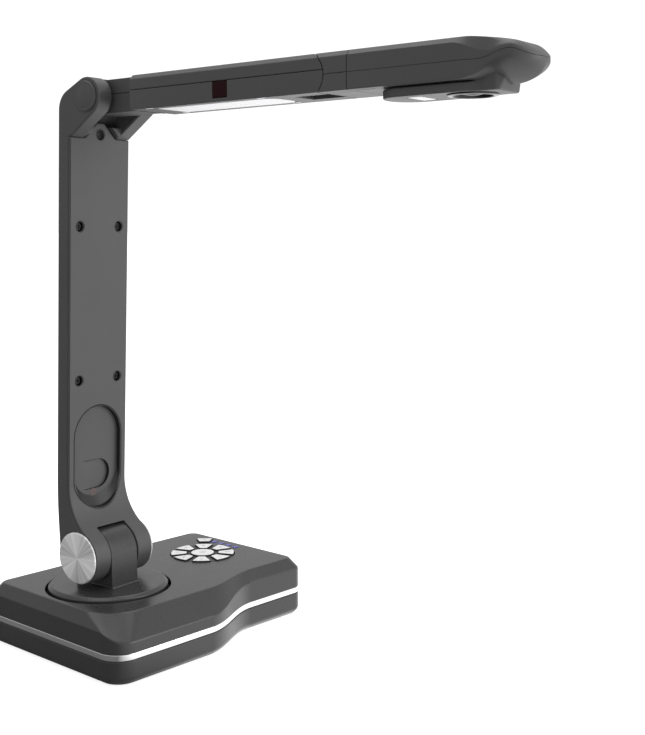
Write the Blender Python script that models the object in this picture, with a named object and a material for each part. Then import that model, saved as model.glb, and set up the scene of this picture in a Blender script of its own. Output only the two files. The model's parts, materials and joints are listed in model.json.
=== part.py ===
"""Desktop document camera: a swivelling, folding two-part arm with a tilting, rolling camera head on a
weighted base with a ring keypad.

Frame: +Z up, the table at z = 0, the head reaching towards -Y, the keypad towards +X.
Lengths are written in millimetres and are scaled to metres where a mesh or an empty is made.
"""

import math

import bmesh
import bpy
from mathutils import Vector

MM = 0.001
GAP = 0.3  # clearance between neighbouring pieces

# Base: outlines are measured from the swivel axis, heights from the flat top face
SWIVEL_X, SWIVEL_Y = -46.95, 131.91
FOOT_DROP = 1.5
BASE_HEIGHT = 44.0
BASE_TOP = FOOT_DROP + BASE_HEIGHT
# (left, front of the wide part, front of the narrow part, right, back)
SKIRT = (-54.0, -75.3, -55.1, 147.9, 72.0)
DECK = (-48.8, -61.5, -49.2, 142.5, 66.3)
SKIRT_RADII = (17.0, 8.0, 8.0, 8.0)  # front left, front right, back right, back left
DECK_RADII = (30.0, 7.0, 7.0, 8.0)
SKIRT_STEP = (32.0, 92.0)  # the S-shaped step in the front runs between these x
DECK_STEP = (43.0, 97.0)
CHAMFER_LOW, CHAMFER_LOW_WIDE = -8.0, -15.5
STRIP_TOP, STRIP_BOTTOM = -23.1, -27.6
FOOT_CHAMFER = 4.3
BASE_WALL = 2.4

# Turntable and lower hinge
SWIVEL_REST = 5.0  # degrees that the arm is swung round at rest
TURNTABLE_R = 43.0
WELL_R = 45.2
TURNTABLE_TOP = 3.0
HINGE_Y, HINGE_Z = 1.3, 25.6
LOBE_R = 19.2
TONGUE_HALF = 12.6
LOBE_IN = 13.2
THROAT_R = 20.3
ARM_HALF = 27.0

# Lower arm, in its own frame: y behind the hinge line, z along the arm
LEAN = 2.5
COLUMN_FRONT, COLUMN_BACK = 9.7, 22.7
FILLET_R, FILLET_Z = 38.5, 50.0
FORK_Z = 293.5
PEAK_Z = 304.0
PIVOT_Y, PIVOT_Z = -4.5, 319.9
EAR_R, EAR_IN = 12.8, 15.0
COVER_T = 2.3
DISC_R, CAP_R = 18.5, 10.1
SCOOP_Z, SCOOP_HALF, SCOOP_DEEP = 54.3, 11.0, 2.0
SENSOR_X, SENSOR_Z, SENSOR_R = -0.8, 36.6, 2.3
RECESS_HALF, RECESS_LOW, RECESS_HIGH, RECESS_FLOOR = 22.7, 30.5, 105.5, 13.4
SCREW_HOLE_R = 3.9
SCREWS = ((0.0, 296.2), (-18.1, 232.7), (18.1, 232.7), (-18.1, 124.6), (18.1, 124.6))

# Upper arm, in its own frame: -y along the arm, z up
RISE = 0.6
BEAM_HALF, BEAM_TOP_HALF = 21.0, 17.7
BEAM_LOW, BEAM_SIDE_TOP, BEAM_TOP, BEAM_SEAM = -10.9, 8.7, 11.8, 1.8
BEAM_WALL = 2.4
BEAM_START = 35.0
TILT_REACH, TILT_Z, BEAM_END_R = 179.2, -0.7, 13.4
STEM_HALF, STEM_R = 12.0, 12.4
LUG_HALF = 8.6

# Tilt block and head, in the tilt frame: -y along the head from the tilt axis
BLOCK_REAR, BLOCK_FRONT = 15.3, 30.1
HEAD_REAR = 30.9
HEAD_SEAM = -0.8
HEAD_WALL = 2.3
HEAD_TAPER, WAIST_DEPTH = 104.0, 3.6  # where the straight part ends, and how far the waist draws in
HEAD_STATIONS = (104.0, 109.0, 114.0, 118.0, 122.0, 126.0, 130.0, 134.0, 138.0, 141.0, 143.2, 144.35)
BOARD_LOW = -4.7
NOSE_REACH, NOSE_HALF, NOSE_AHEAD = 127.8, 19.5, 17.0
POD_TOP, POD_LOW, POD_HALF = -10.9, -16.9, 17.0
POD_REAR, POD_FRONT, POD_SLANT = 44.8, 128.5, 5.5
POD_WAIST, POD_NECK, POD_NECK_HALF = 100.0, 113.0, 13.0
POD_WINDOW = (-9.0, -72.5, 9.0, -63.5)
LENS_REACH, LENS_R, LENS_SEAT_R, GLASS_R, BARREL_R = 101.0, 14.5, 12.6, 10.0, 8.9
LENS_LIP = 1.1  # how far the lens ring stands below the pod

# Keypad
KEYPAD_X, KEYPAD_Y = 102.1, 10.5
KEY_TRAVEL = 1.0
KEY_TOP, KEY_LOW = 1.2, -4.4
KEY_IN, KEY_OUT = 12.6, 25.2
KEY_GAP = 0.45
INDICATOR_X = 132.8
INDICATOR_Y = (5.0, 13.2, 21.4, 29.6)

# The panel in the back of the base, and its sockets: (x, width, depth, height)
PANEL_X, PANEL_TOP = (8.0, 86.0), -9.0
PORT_Z, PORT_WALL = -16.0, 0.6
PORTS = {"hdmi_port": (20.0, 15.0, 10.0, 5.6), "usb_port": (48.0, 12.0, 12.0, 10.4),
         "power_jack": (76.0, 9.0, 12.0, 9.6)}

PLASTIC = (0.055, 0.055, 0.057)


# ---------------------------------------------------------------- helpers

def material(name, colour, roughness=0.45, metallic=0.0):
    found = bpy.data.materials.get(name)
    if found:
        return found
    made = bpy.data.materials.new(name)
    made.use_nodes = True
    shader = made.node_tree.nodes["Principled BSDF"]
    shader.inputs["Base Color"].default_value = (*colour, 1.0)
    shader.inputs["Roughness"].default_value = roughness
    shader.inputs["Metallic"].default_value = metallic
    return made


def empty(name, location, turn_x=0.0, turn_z=0.0, parent=None):
    made = bpy.data.objects.new(name, None)
    bpy.context.collection.objects.link(made)
    made.location = [v * MM for v in location]
    made.rotation_euler = (math.radians(turn_x), 0.0, math.radians(turn_z))
    made.parent = parent
    return made


def solid(name, points, faces, parent, look):
    """A closed mesh object from points in millimetres, with its faces turned outwards."""
    mesh = bpy.data.meshes.new(name)
    mesh.from_pydata([tuple(c * MM for c in p) for p in points], [], faces)
    shape = bmesh.new()
    shape.from_mesh(mesh)
    bmesh.ops.recalc_face_normals(shape, faces=shape.faces)
    if shape.calc_volume(signed=True) < 0:
        bmesh.ops.reverse_faces(shape, faces=shape.faces)
    shape.to_mesh(mesh)
    shape.free()
    mesh.shade_smooth()
    mesh.set_sharp_from_angle(angle=math.radians(35))
    made = bpy.data.objects.new(name, mesh)
    bpy.context.collection.objects.link(made)
    made.parent = parent
    if look:
        mesh.materials.append(look)
    return made


def loft(name, rings, parent, look):
    """Skins closed rings of equal length, one after another, and caps the two ends."""
    count = len(rings[0])
    points = [p for ring in rings for p in ring]
    faces = [tuple(range(count)), tuple((len(rings) - 1) * count + i for i in range(count))]
    for level in range(len(rings) - 1):
        low, high = level * count, (level + 1) * count
        for i in range(count):
            j = (i + 1) % count
            faces.append((low + i, low + j, high + j, high + i))
    return solid(name, points, faces, parent, look)


def prism(name, outline, low, high, axis, parent, look=None):
    """A flat outline pushed along an axis: (y, z) along x, (x, z) along y, or (x, y) along z."""
    place = {
        "x": lambda u, v, d: (d, u, v),
        "y": lambda u, v, d: (u, d, v),
        "z": lambda u, v, d: (u, v, d),
    }[axis]
    rings = [[place(u, v, d) for u, v in outline] for d in (low, high)]
    return loft(name, rings, parent, look)


def turned(name, profile, centre, axis, parent, look, steps=32):
    """Turns (radius, distance) points about an axis through centre. A radius of 0 closes an end."""
    place = {
        "x": lambda r, a, d: (d, r * math.cos(a), r * math.sin(a)),
        "y": lambda r, a, d: (r * math.cos(a), d, r * math.sin(a)),
        "z": lambda r, a, d: (r * math.cos(a), r * math.sin(a), d),
    }[axis]
    points, rows = [], []
    for radius, distance in profile:
        angles = [0.0] if radius == 0 else [2 * math.pi * k / steps for k in range(steps)]
        rows.append([len(points) + k for k in range(len(angles))])
        for angle in angles:
            at = place(radius, angle, distance)
            points.append(tuple(c + o for c, o in zip(at, centre)))
    closed = profile[0][0] != 0
    faces = []
    for a, b in zip(rows, rows[1:] + rows[:1] if closed else rows[1:]):
        for k in range(steps):
            n = (k + 1) % steps
            corners = [a[k % len(a)], a[n % len(a)], b[n % len(b)], b[k % len(b)]]
            faces.append(tuple(dict.fromkeys(corners)))
    return solid(name, points, faces, parent, look)


def block(name, low, high, parent, look=None):
    outline = [(low[0], low[1]), (high[0], low[1]), (high[0], high[1]), (low[0], high[1])]
    return prism(name, outline, low[2], high[2], "z", parent, look)


def circle(x, y, radius, steps=32, start=0.0, turn=360.0):
    """Points round a circle, or along an arc of it when turn is under 360 degrees."""
    last = steps if turn == 360.0 else steps - 1
    angles = [math.radians(start + turn * k / last) for k in range(steps)]
    return [(x + radius * math.cos(a), y + radius * math.sin(a)) for a in angles]


def stadium(half, low, high, steps=10):
    """A slot outline, round at both ends, standing along the second axis."""
    top = circle(0, high - half, half, steps, 0, 180)
    return top + circle(0, low + half, half, steps, 180, 180)


def combine(target, tool, operation="DIFFERENCE"):
    """Cuts, joins or intersects target with a hidden tool object."""
    modifier = target.modifiers.new(tool.name, "BOOLEAN")
    modifier.operation = operation
    modifier.object = tool
    modifier.solver = "EXACT"
    tool.hide_render = True
    tool.display_type = "WIRE"
    return target


def smooth_step(t):
    t = min(max(t, 0.0), 1.0)
    return t * t * (3 - 2 * t)


# ---------------------------------------------------------------- base

def base_outline(sides, radii, step, inset=0.0):
    """The base's plan: a rectangle with round corners and an S-shaped step in its front side.
    Each point is (x, y, how far along the step from the wide part, 0, to the narrow part, 1)."""
    left, wide, narrow, right, back = sides
    left, wide, narrow = left + inset, wide + inset, narrow + inset
    right, back = right - inset, back - inset
    fl, fr, br, bl = [max(r - inset, 2.0) for r in radii]
    points = [(x, y, smooth_step(1 - (k + 1) / 7)) for k, (x, y) in
              enumerate(circle(left + fl, wide + fl, fl, 8, 180, 90))]
    for k in range(1, 10):
        share = k / 9
        x = step[0] + (step[1] - step[0]) * share
        points.append((x, wide + (narrow - wide) * smooth_step(share), smooth_step(share)))
    points += [(x, y, 1.0) for x, y in circle(right - fr, narrow + fr, fr, 5, 270, 90)]
    points += [(x, y, 1.0) for x, y in circle(right - br, back - br, br, 6, 0, 90)]
    points += [(x, y, 1.0) for x, y in circle(left + bl, back - bl, bl, 6, 90, 90)]
    return points


def base_ring(sides, radii, step, height, inset=0.0, low_height=None):
    """One ring of the base at a height; low_height is the wide part's own height."""
    ring = []
    for x, y, share in base_outline(sides, radii, step, inset):
        z = height if low_height is None else low_height + (height - low_height) * share
        ring.append((x, y, z))
    return ring


def skirt_ring(height, inset=0.0):
    return base_ring(SKIRT, SKIRT_RADII, SKIRT_STEP, height, inset)


def key_outlines():
    """Every key's name and plan outline: eight in a ring, a centre key and one beyond the ring."""
    half_in, half_out = math.radians(13.5), math.radians(17.0)
    keys = {}
    for k in range(8):
        angle = math.radians(45 * k)
        outline = []
        for radius, shift in ((KEY_IN, half_in), (KEY_IN, -half_in), (KEY_OUT, -half_out),
                              (KEY_OUT, -half_out / 3), (KEY_OUT, half_out / 3), (KEY_OUT, half_out)):
            outline.append((radius * math.cos(angle + shift), radius * math.sin(angle + shift)))
        keys[f"ring_key_{k + 1}"] = outline
    keys["centre_key"] = circle(0, 0, 9.4, 24)
    corner = []
    for along, across in ((33.0, 4.4), (33.0, -4.4), (43.0, -6.7), (43.0, 6.7)):
        c = math.cos(math.radians(45))
        corner.append((along * c - across * c, along * c + across * c))
    keys["power_key"] = corner
    return keys


def grown(outline, by):
    """The outline moved outwards by the same distance on every side."""
    cx = sum(x for x, _ in outline) / len(outline)
    cy = sum(y for _, y in outline) / len(outline)
    made = []
    for i, (x, y) in enumerate(outline):
        px, py = outline[i - 1]
        nx, ny = outline[(i + 1) % len(outline)]
        a = Vector((y - py, px - x)).normalized()
        b = Vector((ny - y, x - nx)).normalized()
        if a.dot(Vector((x - cx, y - cy))) + b.dot(Vector((x - cx, y - cy))) < 0:
            a, b = -a, -b
        push = (a + b) / (1 + a.dot(b))
        made.append((x + push.x * by, y + push.y * by))
    return made


def base_covers(root):
    look = material("base_plastic", PLASTIC, 0.35)
    wall = BASE_WALL
    low = STRIP_TOP + GAP
    rings = [base_ring(DECK, DECK_RADII, DECK_STEP, 0.0),
             base_ring(SKIRT, SKIRT_RADII, SKIRT_STEP, CHAMFER_LOW, 0.0, CHAMFER_LOW_WIDE),
             skirt_ring(low)]
    top = loft("base_top_cover", rings, root, look)
    rings = [base_ring(DECK, DECK_RADII, DECK_STEP, -wall, wall / 2),
             base_ring(SKIRT, SKIRT_RADII, SKIRT_STEP, CHAMFER_LOW - wall / 2, wall,
                       CHAMFER_LOW_WIDE - wall / 2),
             skirt_ring(low - 1.0, wall)]
    combine(top, loft("top_cover_hollow", rings, root, None))
    combine(top, prism("well_cutter", circle(0, 0, WELL_R, 48), -9.0, 1.0, "z", root))
    for name, outline in key_outlines().items():
        hole = [(KEYPAD_X + x, KEYPAD_Y + y) for x, y in grown(outline, KEY_GAP)]
        combine(top, prism(name + "_hole", hole, -9.0, 1.0, "z", root))
    for k in range(4):
        hole = circle(INDICATOR_X, INDICATOR_Y[k], 1.5, 10)
        combine(top, prism(f"indicator_hole_{k + 1}", hole, -9.0, 1.0, "z", root))
    back, (left, right) = SKIRT[4], PANEL_X
    notch_low, notch_high = (left - GAP, back - 6, low - 5), (right + GAP, back + 2, PANEL_TOP + GAP)
    combine(top, block("panel_notch", notch_low, notch_high, root))
    panel = block("rear_panel", (left, back - wall, low), (right, back, PANEL_TOP), root,
                  material("panel_plastic", PLASTIC, 0.5))
    for name, (x, width, depth, height) in PORTS.items():
        hole_low = (x - width / 2 - GAP, back - 4, PORT_Z - height / 2 - GAP)
        hole_high = (x + width / 2 + GAP, back + 2, PORT_Z + height / 2 + GAP)
        combine(panel, block(name + "_hole", hole_low, hole_high, root))

    rings = [skirt_ring(STRIP_BOTTOM - GAP), skirt_ring(-BASE_HEIGHT + FOOT_CHAMFER),
             skirt_ring(-BASE_HEIGHT, FOOT_CHAMFER)]
    bottom = loft("base_bottom_cover", rings, root, look)
    rings = [skirt_ring(STRIP_BOTTOM + 1.0, wall), skirt_ring(-BASE_HEIGHT + FOOT_CHAMFER, wall),
             skirt_ring(-BASE_HEIGHT + wall, FOOT_CHAMFER + wall / 2)]
    combine(bottom, loft("bottom_cover_hollow", rings, root, None))

    strip = loft("base_trim_strip", [skirt_ring(STRIP_TOP, 0.3), skirt_ring(STRIP_BOTTOM, 0.3)], root,
                 material("chrome_strip", (0.85, 0.85, 0.86), 0.12, 1.0))
    hollow = [skirt_ring(STRIP_TOP + 1, wall), skirt_ring(STRIP_BOTTOM - 1, wall)]
    combine(strip, loft("strip_hollow", hollow, root, None))


def base_inside(root):
    block("base_weight", (-34, -40, -41.3), (120, 52, -35.0), root,
          material("steel_weight", (0.30, 0.30, 0.31), 0.5, 1.0))
    block("main_board", (-30, -34, -25.4), (112, 54, -23.8), root, material("board", (0.02, 0.12, 0.06)))
    block("keypad_board", (72, -18, -8.0), (136.5, 46, -6.4), root, material("board", (0.02, 0.12, 0.06)))
    guide = block("indicator_light_guide", (INDICATOR_X - 2, 2.0, -5.8), (INDICATOR_X + 2, 31.2, -3.2), root,
                  material("light_guide", (0.55, 0.6, 0.8), 0.2))
    for k, y in enumerate(INDICATOR_Y):
        pip = prism(f"pip_{k + 1}", circle(INDICATOR_X, y, 1.2, 10), -4.0, 0.1, "z", root)
        combine(guide, pip, "UNION")
    port_look = material("port_metal", (0.45, 0.45, 0.46), 0.3, 1.0)
    for name, (x, width, depth, height) in PORTS.items():
        back = SKIRT[4] - 0.4
        port = block(name, (x - width / 2, back - depth, PORT_Z - height / 2),
                     (x + width / 2, back, PORT_Z + height / 2), root, port_look)
        mouth_low = (x - width / 2 + PORT_WALL, back - depth + 2, PORT_Z - height / 2 + PORT_WALL)
        mouth_high = (x + width / 2 - PORT_WALL, back + 1, PORT_Z + height / 2 - PORT_WALL)
        combine(port, block(name + "_mouth", mouth_low, mouth_high, root))
    profile = [(8.6, -5.6), (8.6, -10.0), (47.5, -10.0), (47.5, -5.6)]
    turned("swivel_bearing", profile, (0, 0, 0), "z", root, material("acetal", (0.03, 0.03, 0.03), 0.5), 40)
    rubber = material("foot_rubber", (0.02, 0.02, 0.02), 0.8)
    places = {"front_left": (-30, -52), "front_right": (122, -34), "back_right": (124, 50),
              "back_left": (-32, 50)}
    for name, (x, y) in places.items():
        profile = [(0, -BASE_HEIGHT - GAP / 3), (7.0, -BASE_HEIGHT - GAP / 3), (7.0, -BASE_HEIGHT - 0.9),
                   (6.2, -BASE_HEIGHT - FOOT_DROP), (0, -BASE_HEIGHT - FOOT_DROP)]
        turned(f"foot_{name}", profile, (x, y, 0), "z", root, rubber, 20)


def keys(root):
    look = material("key_plastic", (0.85, 0.85, 0.86), 0.3)
    for name, outline in key_outlines().items():
        pivot = empty(name + "_slide", (KEYPAD_X, KEYPAD_Y, 0), parent=root)
        rings = [[(x, y, KEY_LOW) for x, y in outline], [(x, y, KEY_TOP - 0.4) for x, y in outline],
                 [(x, y, KEY_TOP) for x, y in grown(outline, -0.4)]]
        loft(name, rings, pivot, look)


# ---------------------------------------------------------------- turntable

def turntable(swivel):
    look = material("turntable_plastic", PLASTIC, 0.3)
    disc = turned("turntable", [(0, -5.2), (TURNTABLE_R, -5.2), (TURNTABLE_R, TURNTABLE_TOP - 2.0),
                                (TURNTABLE_R - 2.0, TURNTABLE_TOP), (0, TURNTABLE_TOP)],
                  (0, 0, 0), "z", swivel, look, 64)
    tongue_r = LOBE_R + 0.3
    top = circle(HINGE_Y, HINGE_Z, tongue_r, 17, 0, 180)
    outline = [(HINGE_Y + tongue_r, TURNTABLE_TOP - 1)] + top + [(HINGE_Y - tongue_r, TURNTABLE_TOP - 1)]
    combine(disc, prism("tongue", outline, -TONGUE_HALF, TONGUE_HALF, "x", swivel), "UNION")
    bore = prism("tongue_bore", circle(HINGE_Y, HINGE_Z, 5.3, 24), -20, 20, "x", swivel)
    combine(disc, bore)
    combine(disc, prism("spindle_bore", circle(0, 0, 5.3, 20), -7, 2.0, "z", swivel))
    steel = material("pin_steel", (0.55, 0.55, 0.56), 0.3, 1.0)
    turned("swivel_spindle", [(0, -16), (5, -16), (5, 1.6), (0, 1.6)], (0, 0, 0), "z", swivel, steel, 20)
    turned("spindle_nut", [(5.3, -11), (10.5, -11), (10.5, -15), (5.3, -15)], (0, 0, 0), "z", swivel,
           steel, 24)


# ---------------------------------------------------------------- lower arm

def unit(x, y):
    length = math.hypot(x, y)
    return x / length, y / length


def front_curve(offset=0.0, steps=8):
    """The column's front from the fork step down the fillet and round the lobe to its underside,
    as (y, z) points moved inwards by offset."""
    points = [(COLUMN_FRONT + offset, FORK_Z)]
    centre = COLUMN_FRONT - FILLET_R
    lean = math.atan2(FILLET_Z, -centre)
    for k in range(steps + 1):
        angle = -lean * k / steps
        radius = FILLET_R + offset
        points.append((centre + radius * math.cos(angle), FILLET_Z + radius * math.sin(angle)))
    for k in range(1, steps + 3):
        angle = math.pi - lean + (lean + math.radians(78)) * k / (steps + 2)
        radius = LOBE_R - offset
        points.append((radius * math.cos(angle), radius * math.sin(angle)))
    return points


def column_profile():
    """The whole side outline of the lower arm, lobe, column and fork ear, as (y, z) points."""
    rise = unit(-0.88, 0.47)
    tip = (PIVOT_Y + rise[1] * EAR_R, PIVOT_Z - rise[0] * EAR_R)
    ear = circle(PIVOT_Y, PIVOT_Z, EAR_R, 13, math.degrees(math.atan2(-rise[0], rise[1])), 165)
    points = [(LOBE_R * math.cos(a), LOBE_R * math.sin(a)) for a in
              (math.radians(-78 + 13 * k) for k in range(7))]
    points += [(20.9, 16.0), (22.2, 34.0), (COLUMN_BACK, 50.0)]
    corner_z = tip[1] + (COLUMN_BACK - tip[0]) * rise[1] / rise[0]
    for k in range(7):
        share = k / 6
        a = (COLUMN_BACK, corner_z - 7.0)
        b = (COLUMN_BACK + rise[0] * 8.0, corner_z + rise[1] * 8.0)
        y = (1 - share) ** 2 * a[0] + 2 * share * (1 - share) * COLUMN_BACK + share ** 2 * b[0]
        z = (1 - share) ** 2 * a[1] + 2 * share * (1 - share) * corner_z + share ** 2 * b[1]
        points.append((y, z))
    return points + ear + front_curve()


def slab(y_low, y_high, z_low, z_high):
    return [(y_low, z_low), (y_high, z_low), (y_high, z_high), (y_low, z_high)]


def lower_arm_shells(hinge):
    look = material("arm_plastic", PLASTIC, 0.42)
    back = prism("lower_arm_back_shell", column_profile(), -ARM_HALF, ARM_HALF, "x", hinge, look)
    skin = front_curve(COVER_T + GAP)
    skin_cut = [(-40, FORK_Z + GAP)] + [(COLUMN_FRONT + COVER_T + GAP, FORK_Z + GAP)] + skin[1:]
    skin_cut += [(skin[-1][0], -40), (-40, -40)]
    combine(back, prism("cover_seat", skin_cut, -30, 30, "x", hinge))
    seat = [(-15, FORK_Z - 5), (-15, FORK_Z), (-4.6, PEAK_Z + 0.6), (4.6, PEAK_Z + 0.6), (15, FORK_Z),
            (15, FORK_Z - 5)]
    combine(back, prism("peak_seat", seat, -20, COLUMN_FRONT + COVER_T + GAP, "y", hinge))
    combine(back, prism("column_hollow", slab(0, 20.2, 24.0, 288.0), -24.4, 24.4, "x", hinge))
    throat = circle(0, 0, THROAT_R, 17, 25, 155) + [(-THROAT_R, -30), (40, -30), (40, 8.6)]
    combine(back, prism("lobe_gap", throat, -LOBE_IN, LOBE_IN, "x", hinge))
    notch = [(-40, FORK_Z + 2), (6, FORK_Z + 2), (6, FORK_Z + 8), (COLUMN_FRONT + 8, FORK_Z + 8)]
    notch += circle(PIVOT_Y, PIVOT_Z, 16.2, 9, -35, 100) + [(PIVOT_Y, 345), (-40, 345)]
    combine(back, prism("ear_gap", notch, -EAR_IN, EAR_IN, "x", hinge))
    combine(back, prism("lower_pin_bore", circle(0, 0, 5.3, 20), -40, 40, "x", hinge))
    combine(back, prism("upper_pin_bore", circle(PIVOT_Y, PIVOT_Z, 4.3, 20), -40, 40, "x", hinge))
    combine(back, prism("peak_screw_bore", circle(0, SCREWS[0][1], 1.4, 12), 0, 18, "y", hinge))

    outer, inner = front_curve(0.0), front_curve(COVER_T)
    cover = prism("lower_arm_front_cover", outer + inner[::-1], -ARM_HALF, ARM_HALF, "x", hinge, look)
    peak = [(-14, FORK_Z - 3), (-14, FORK_Z), (-4, PEAK_Z), (4, PEAK_Z), (14, FORK_Z), (14, FORK_Z - 3)]
    tab = prism("peak_tab", peak, COLUMN_FRONT, COLUMN_FRONT + COVER_T, "y", hinge)
    combine(cover, tab, "UNION")
    combine(cover, prism("cover_low_gap", slab(-40, 30, -40, THROAT_R), -LOBE_IN, LOBE_IN, "x", hinge))
    window = stadium(RECESS_HALF, RECESS_LOW, RECESS_HIGH)
    combine(cover, prism("recess_hole", window, -30, 20, "y", hinge))
    for k, (x, z) in enumerate(SCREWS):
        combine(cover, prism(f"screw_hole_{k + 1}", circle(x, z, SCREW_HOLE_R, 20), -5, 20, "y", hinge))


def recess_tray(hinge):
    """The sunk oval panel in the column's front, with a half-round finger scoop in its floor."""
    outline = stadium(RECESS_HALF - GAP, RECESS_LOW + GAP, RECESS_HIGH - GAP)
    tray = prism("recess_tray", outline, -20, RECESS_FLOOR + 3.4, "y", hinge,
                 material("recess_plastic", PLASTIC, 0.45))
    inner = stadium(RECESS_HALF - 1.6, RECESS_LOW + 1.6, RECESS_HIGH - 1.6)
    combine(tray, prism("tray_hollow", inner, -30, RECESS_FLOOR, "y", hinge))
    face = front_curve(0.2)
    front = [(-60, FORK_Z)] + face + [(face[-1][0], -60), (-60, -60)]
    combine(tray, prism("tray_front", front, -30, 30, "x", hinge))
    scoop = [(-12, SCOOP_Z - SCOOP_HALF)] + circle(3.7, SCOOP_Z, SCOOP_HALF, 9, -90, 180)
    scoop.append((-12, SCOOP_Z + SCOOP_HALF))
    combine(tray, prism("scoop", scoop, 5, RECESS_FLOOR + SCOOP_DEEP, "y", hinge))
    hole = circle(SENSOR_X, SENSOR_Z, SENSOR_R + GAP, 16)
    combine(tray, prism("sensor_hole", hole, 5, 20, "y", hinge))
    window = circle(SENSOR_X, SENSOR_Z, SENSOR_R, 16)
    prism("sensor_window", window, RECESS_FLOOR - 0.2, RECESS_FLOOR + 2.0, "y", hinge,
          material("sensor_red", (0.12, 0.02, 0.025), 0.2))


def arm_screws(hinge):
    black = material("screw_black", (0.012, 0.012, 0.013), 0.4, 0.6)
    for k, (x, z) in enumerate(SCREWS):
        face = COLUMN_FRONT + 0.9
        head_r, shank_r = SCREW_HOLE_R - 0.4, 1.2
        profile = [(0, face), (head_r, face), (head_r, face + 1.3), (shank_r, face + 1.3),
                   (shank_r, face + 4.5), (0, face + 4.5)]
        turned(f"arm_screw_{k + 1}", profile, (x, 0, z), "y", hinge, black, 16)


def hinge_hardware(hinge):
    """The two hinge pins, the silver discs on the lower hinge and the caps on the upper one."""
    steel = material("pin_steel", (0.55, 0.55, 0.56), 0.3, 1.0)
    silver = material("spun_aluminium", (0.62, 0.62, 0.63), 0.25, 1.0)
    plastic = material("cap_plastic", PLASTIC, 0.35)
    pin = ARM_HALF - 0.6
    centre = (0, PIVOT_Y, PIVOT_Z)
    for name, radius, spot in (("lower_hinge_pin", 5, (0, 0, 0)), ("upper_hinge_pin", 4, centre)):
        turned(name, [(0, -pin), (radius, -pin), (radius, pin), (0, pin)], spot, "x", hinge, steel, 20)
    out = ARM_HALF + GAP
    disc = [(0, out), (DISC_R, out), (DISC_R, out + 0.7), (DISC_R - 0.5, out + 1.2), (0, out + 1.2)]
    cap = [(0, out), (CAP_R, out), (CAP_R, out + 0.7), (CAP_R - 1.2, out + 1.6), (0, out + 1.6)]
    for side, name in ((-1, "left"), (1, "right")):
        face = [(r, side * x) for r, x in disc]
        turned("hinge_disc_" + name, face, (0, 0, 0), "x", hinge, silver, 48)
        face = [(r, side * x) for r, x in cap]
        turned("pivot_cap_" + name, face, centre, "x", hinge, plastic, 32)


# ---------------------------------------------------------------- upper arm

def beam_section(grow=0.0):
    """The upper arm's cross-section as (x, z): flat underside, upright sides, chamfered top."""
    side, top = BEAM_HALF + grow, BEAM_TOP_HALF + grow
    low, brow, high = BEAM_LOW - grow, BEAM_SIDE_TOP + grow / 2, BEAM_TOP + grow
    return [(-side, low), (side, low), (side, brow), (top, high), (-top, high), (-side, brow)]


def above(height, name, parent):
    return block(name, (-60, -400, height), (60, 60, 80), parent)


def below(height, name, parent):
    return block(name, (-60, -400, -80), (60, 60, height), parent)


def beam_solid(name, pivot, look):
    """The full-width part of the arm with its round end, joined to the narrow stem."""
    beam = prism(name, beam_section(), -BEAM_START, -TILT_REACH - BEAM_END_R - 1, "y", pivot, look)
    end = circle(-TILT_REACH, TILT_Z, BEAM_END_R, 17, 90, 180)
    end = [(-20, 30), (-TILT_REACH, 30)] + end + [(-TILT_REACH, -30), (-20, -30)]
    combine(beam, prism(name + "_end", end, -60, 60, "x", pivot), "INTERSECT")
    combine(beam, prism(name + "_stem", stem_outline(), -STEM_HALF, STEM_HALF, "x", pivot), "UNION")
    return beam


def stem_outline():
    """Side outline of the narrow stem: a round hub on the pin with a straight neck to the beam."""
    floor = -10.6
    hub = circle(0, 0, STEM_R, 15, -58.7, 148.7)
    return hub + [(-BEAM_START - 4, STEM_R), (-BEAM_START - 4, floor)]


def upper_arm(pivot):
    look = material("arm_plastic", PLASTIC, 0.42)
    top = beam_solid("upper_arm_top_shell", pivot, look)
    bottom = beam_solid("upper_arm_bottom_shell", pivot, look)
    combine(top, below(BEAM_SEAM + GAP / 2, "top_shell_split", pivot))
    combine(bottom, above(BEAM_SEAM - GAP / 2, "bottom_shell_split", pivot))
    floor, side = BEAM_LOW + BEAM_WALL, BEAM_HALF - BEAM_WALL
    cavity = [(-side, floor), (side, floor), (side, 7.4), (16.2, 9.5), (-16.2, 9.5), (-side, 7.4)]
    hollow = prism("beam_hollow", cavity, -BEAM_START - 5, -162, "y", pivot)
    slot = [(-TILT_REACH + 16, -30), (-TILT_REACH + 16, 8.6), (-TILT_REACH + 2.5, 8.6),
            (-TILT_REACH + 2.5, 30), (-260, 30), (-260, -30)]
    lug_slot = prism("lug_slot", slot, -LUG_HALF - 0.5, LUG_HALF + 0.5, "x", pivot)
    pin_bore = prism("upper_bore", circle(0, 0, 4.3, 20), -40, 40, "x", pivot)
    tilt_bore = prism("tilt_bore", circle(-TILT_REACH, TILT_Z, 2.8, 16), -18.0, 18.0, "x", pivot)
    for shell in (top, bottom):
        for tool in (hollow, lug_slot, pin_bore, tilt_bore):
            combine(shell, tool)
    outline = diffuser_outline(GAP)
    combine(bottom, prism("diffuser_hole", outline, BEAM_LOW - 1, BEAM_LOW + 3, "z", pivot))
    prism("light_diffuser", diffuser_outline(0.0), BEAM_LOW - 0.1, BEAM_LOW + 2.0, "z", pivot,
          material("diffuser", (0.9, 0.9, 0.92), 0.35))
    board = material("led_board", (0.75, 0.75, 0.72))
    block("light_board", (-13, -144, -5.8), (13, -58, -4.4), pivot, board)
    low, high = (-BEAM_HALF + 0.1, -119.2, -8.5), (-18.9, -107.4, BEAM_SEAM - GAP)
    block("ir_window", low, high, pivot, material("ir_filter", (0.03, 0.004, 0.008), 0.08))
    combine(bottom, block("ir_hole", (-30, low[1] - GAP, low[2] - GAP), (-18, high[1] + GAP, 20), pivot))


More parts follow.
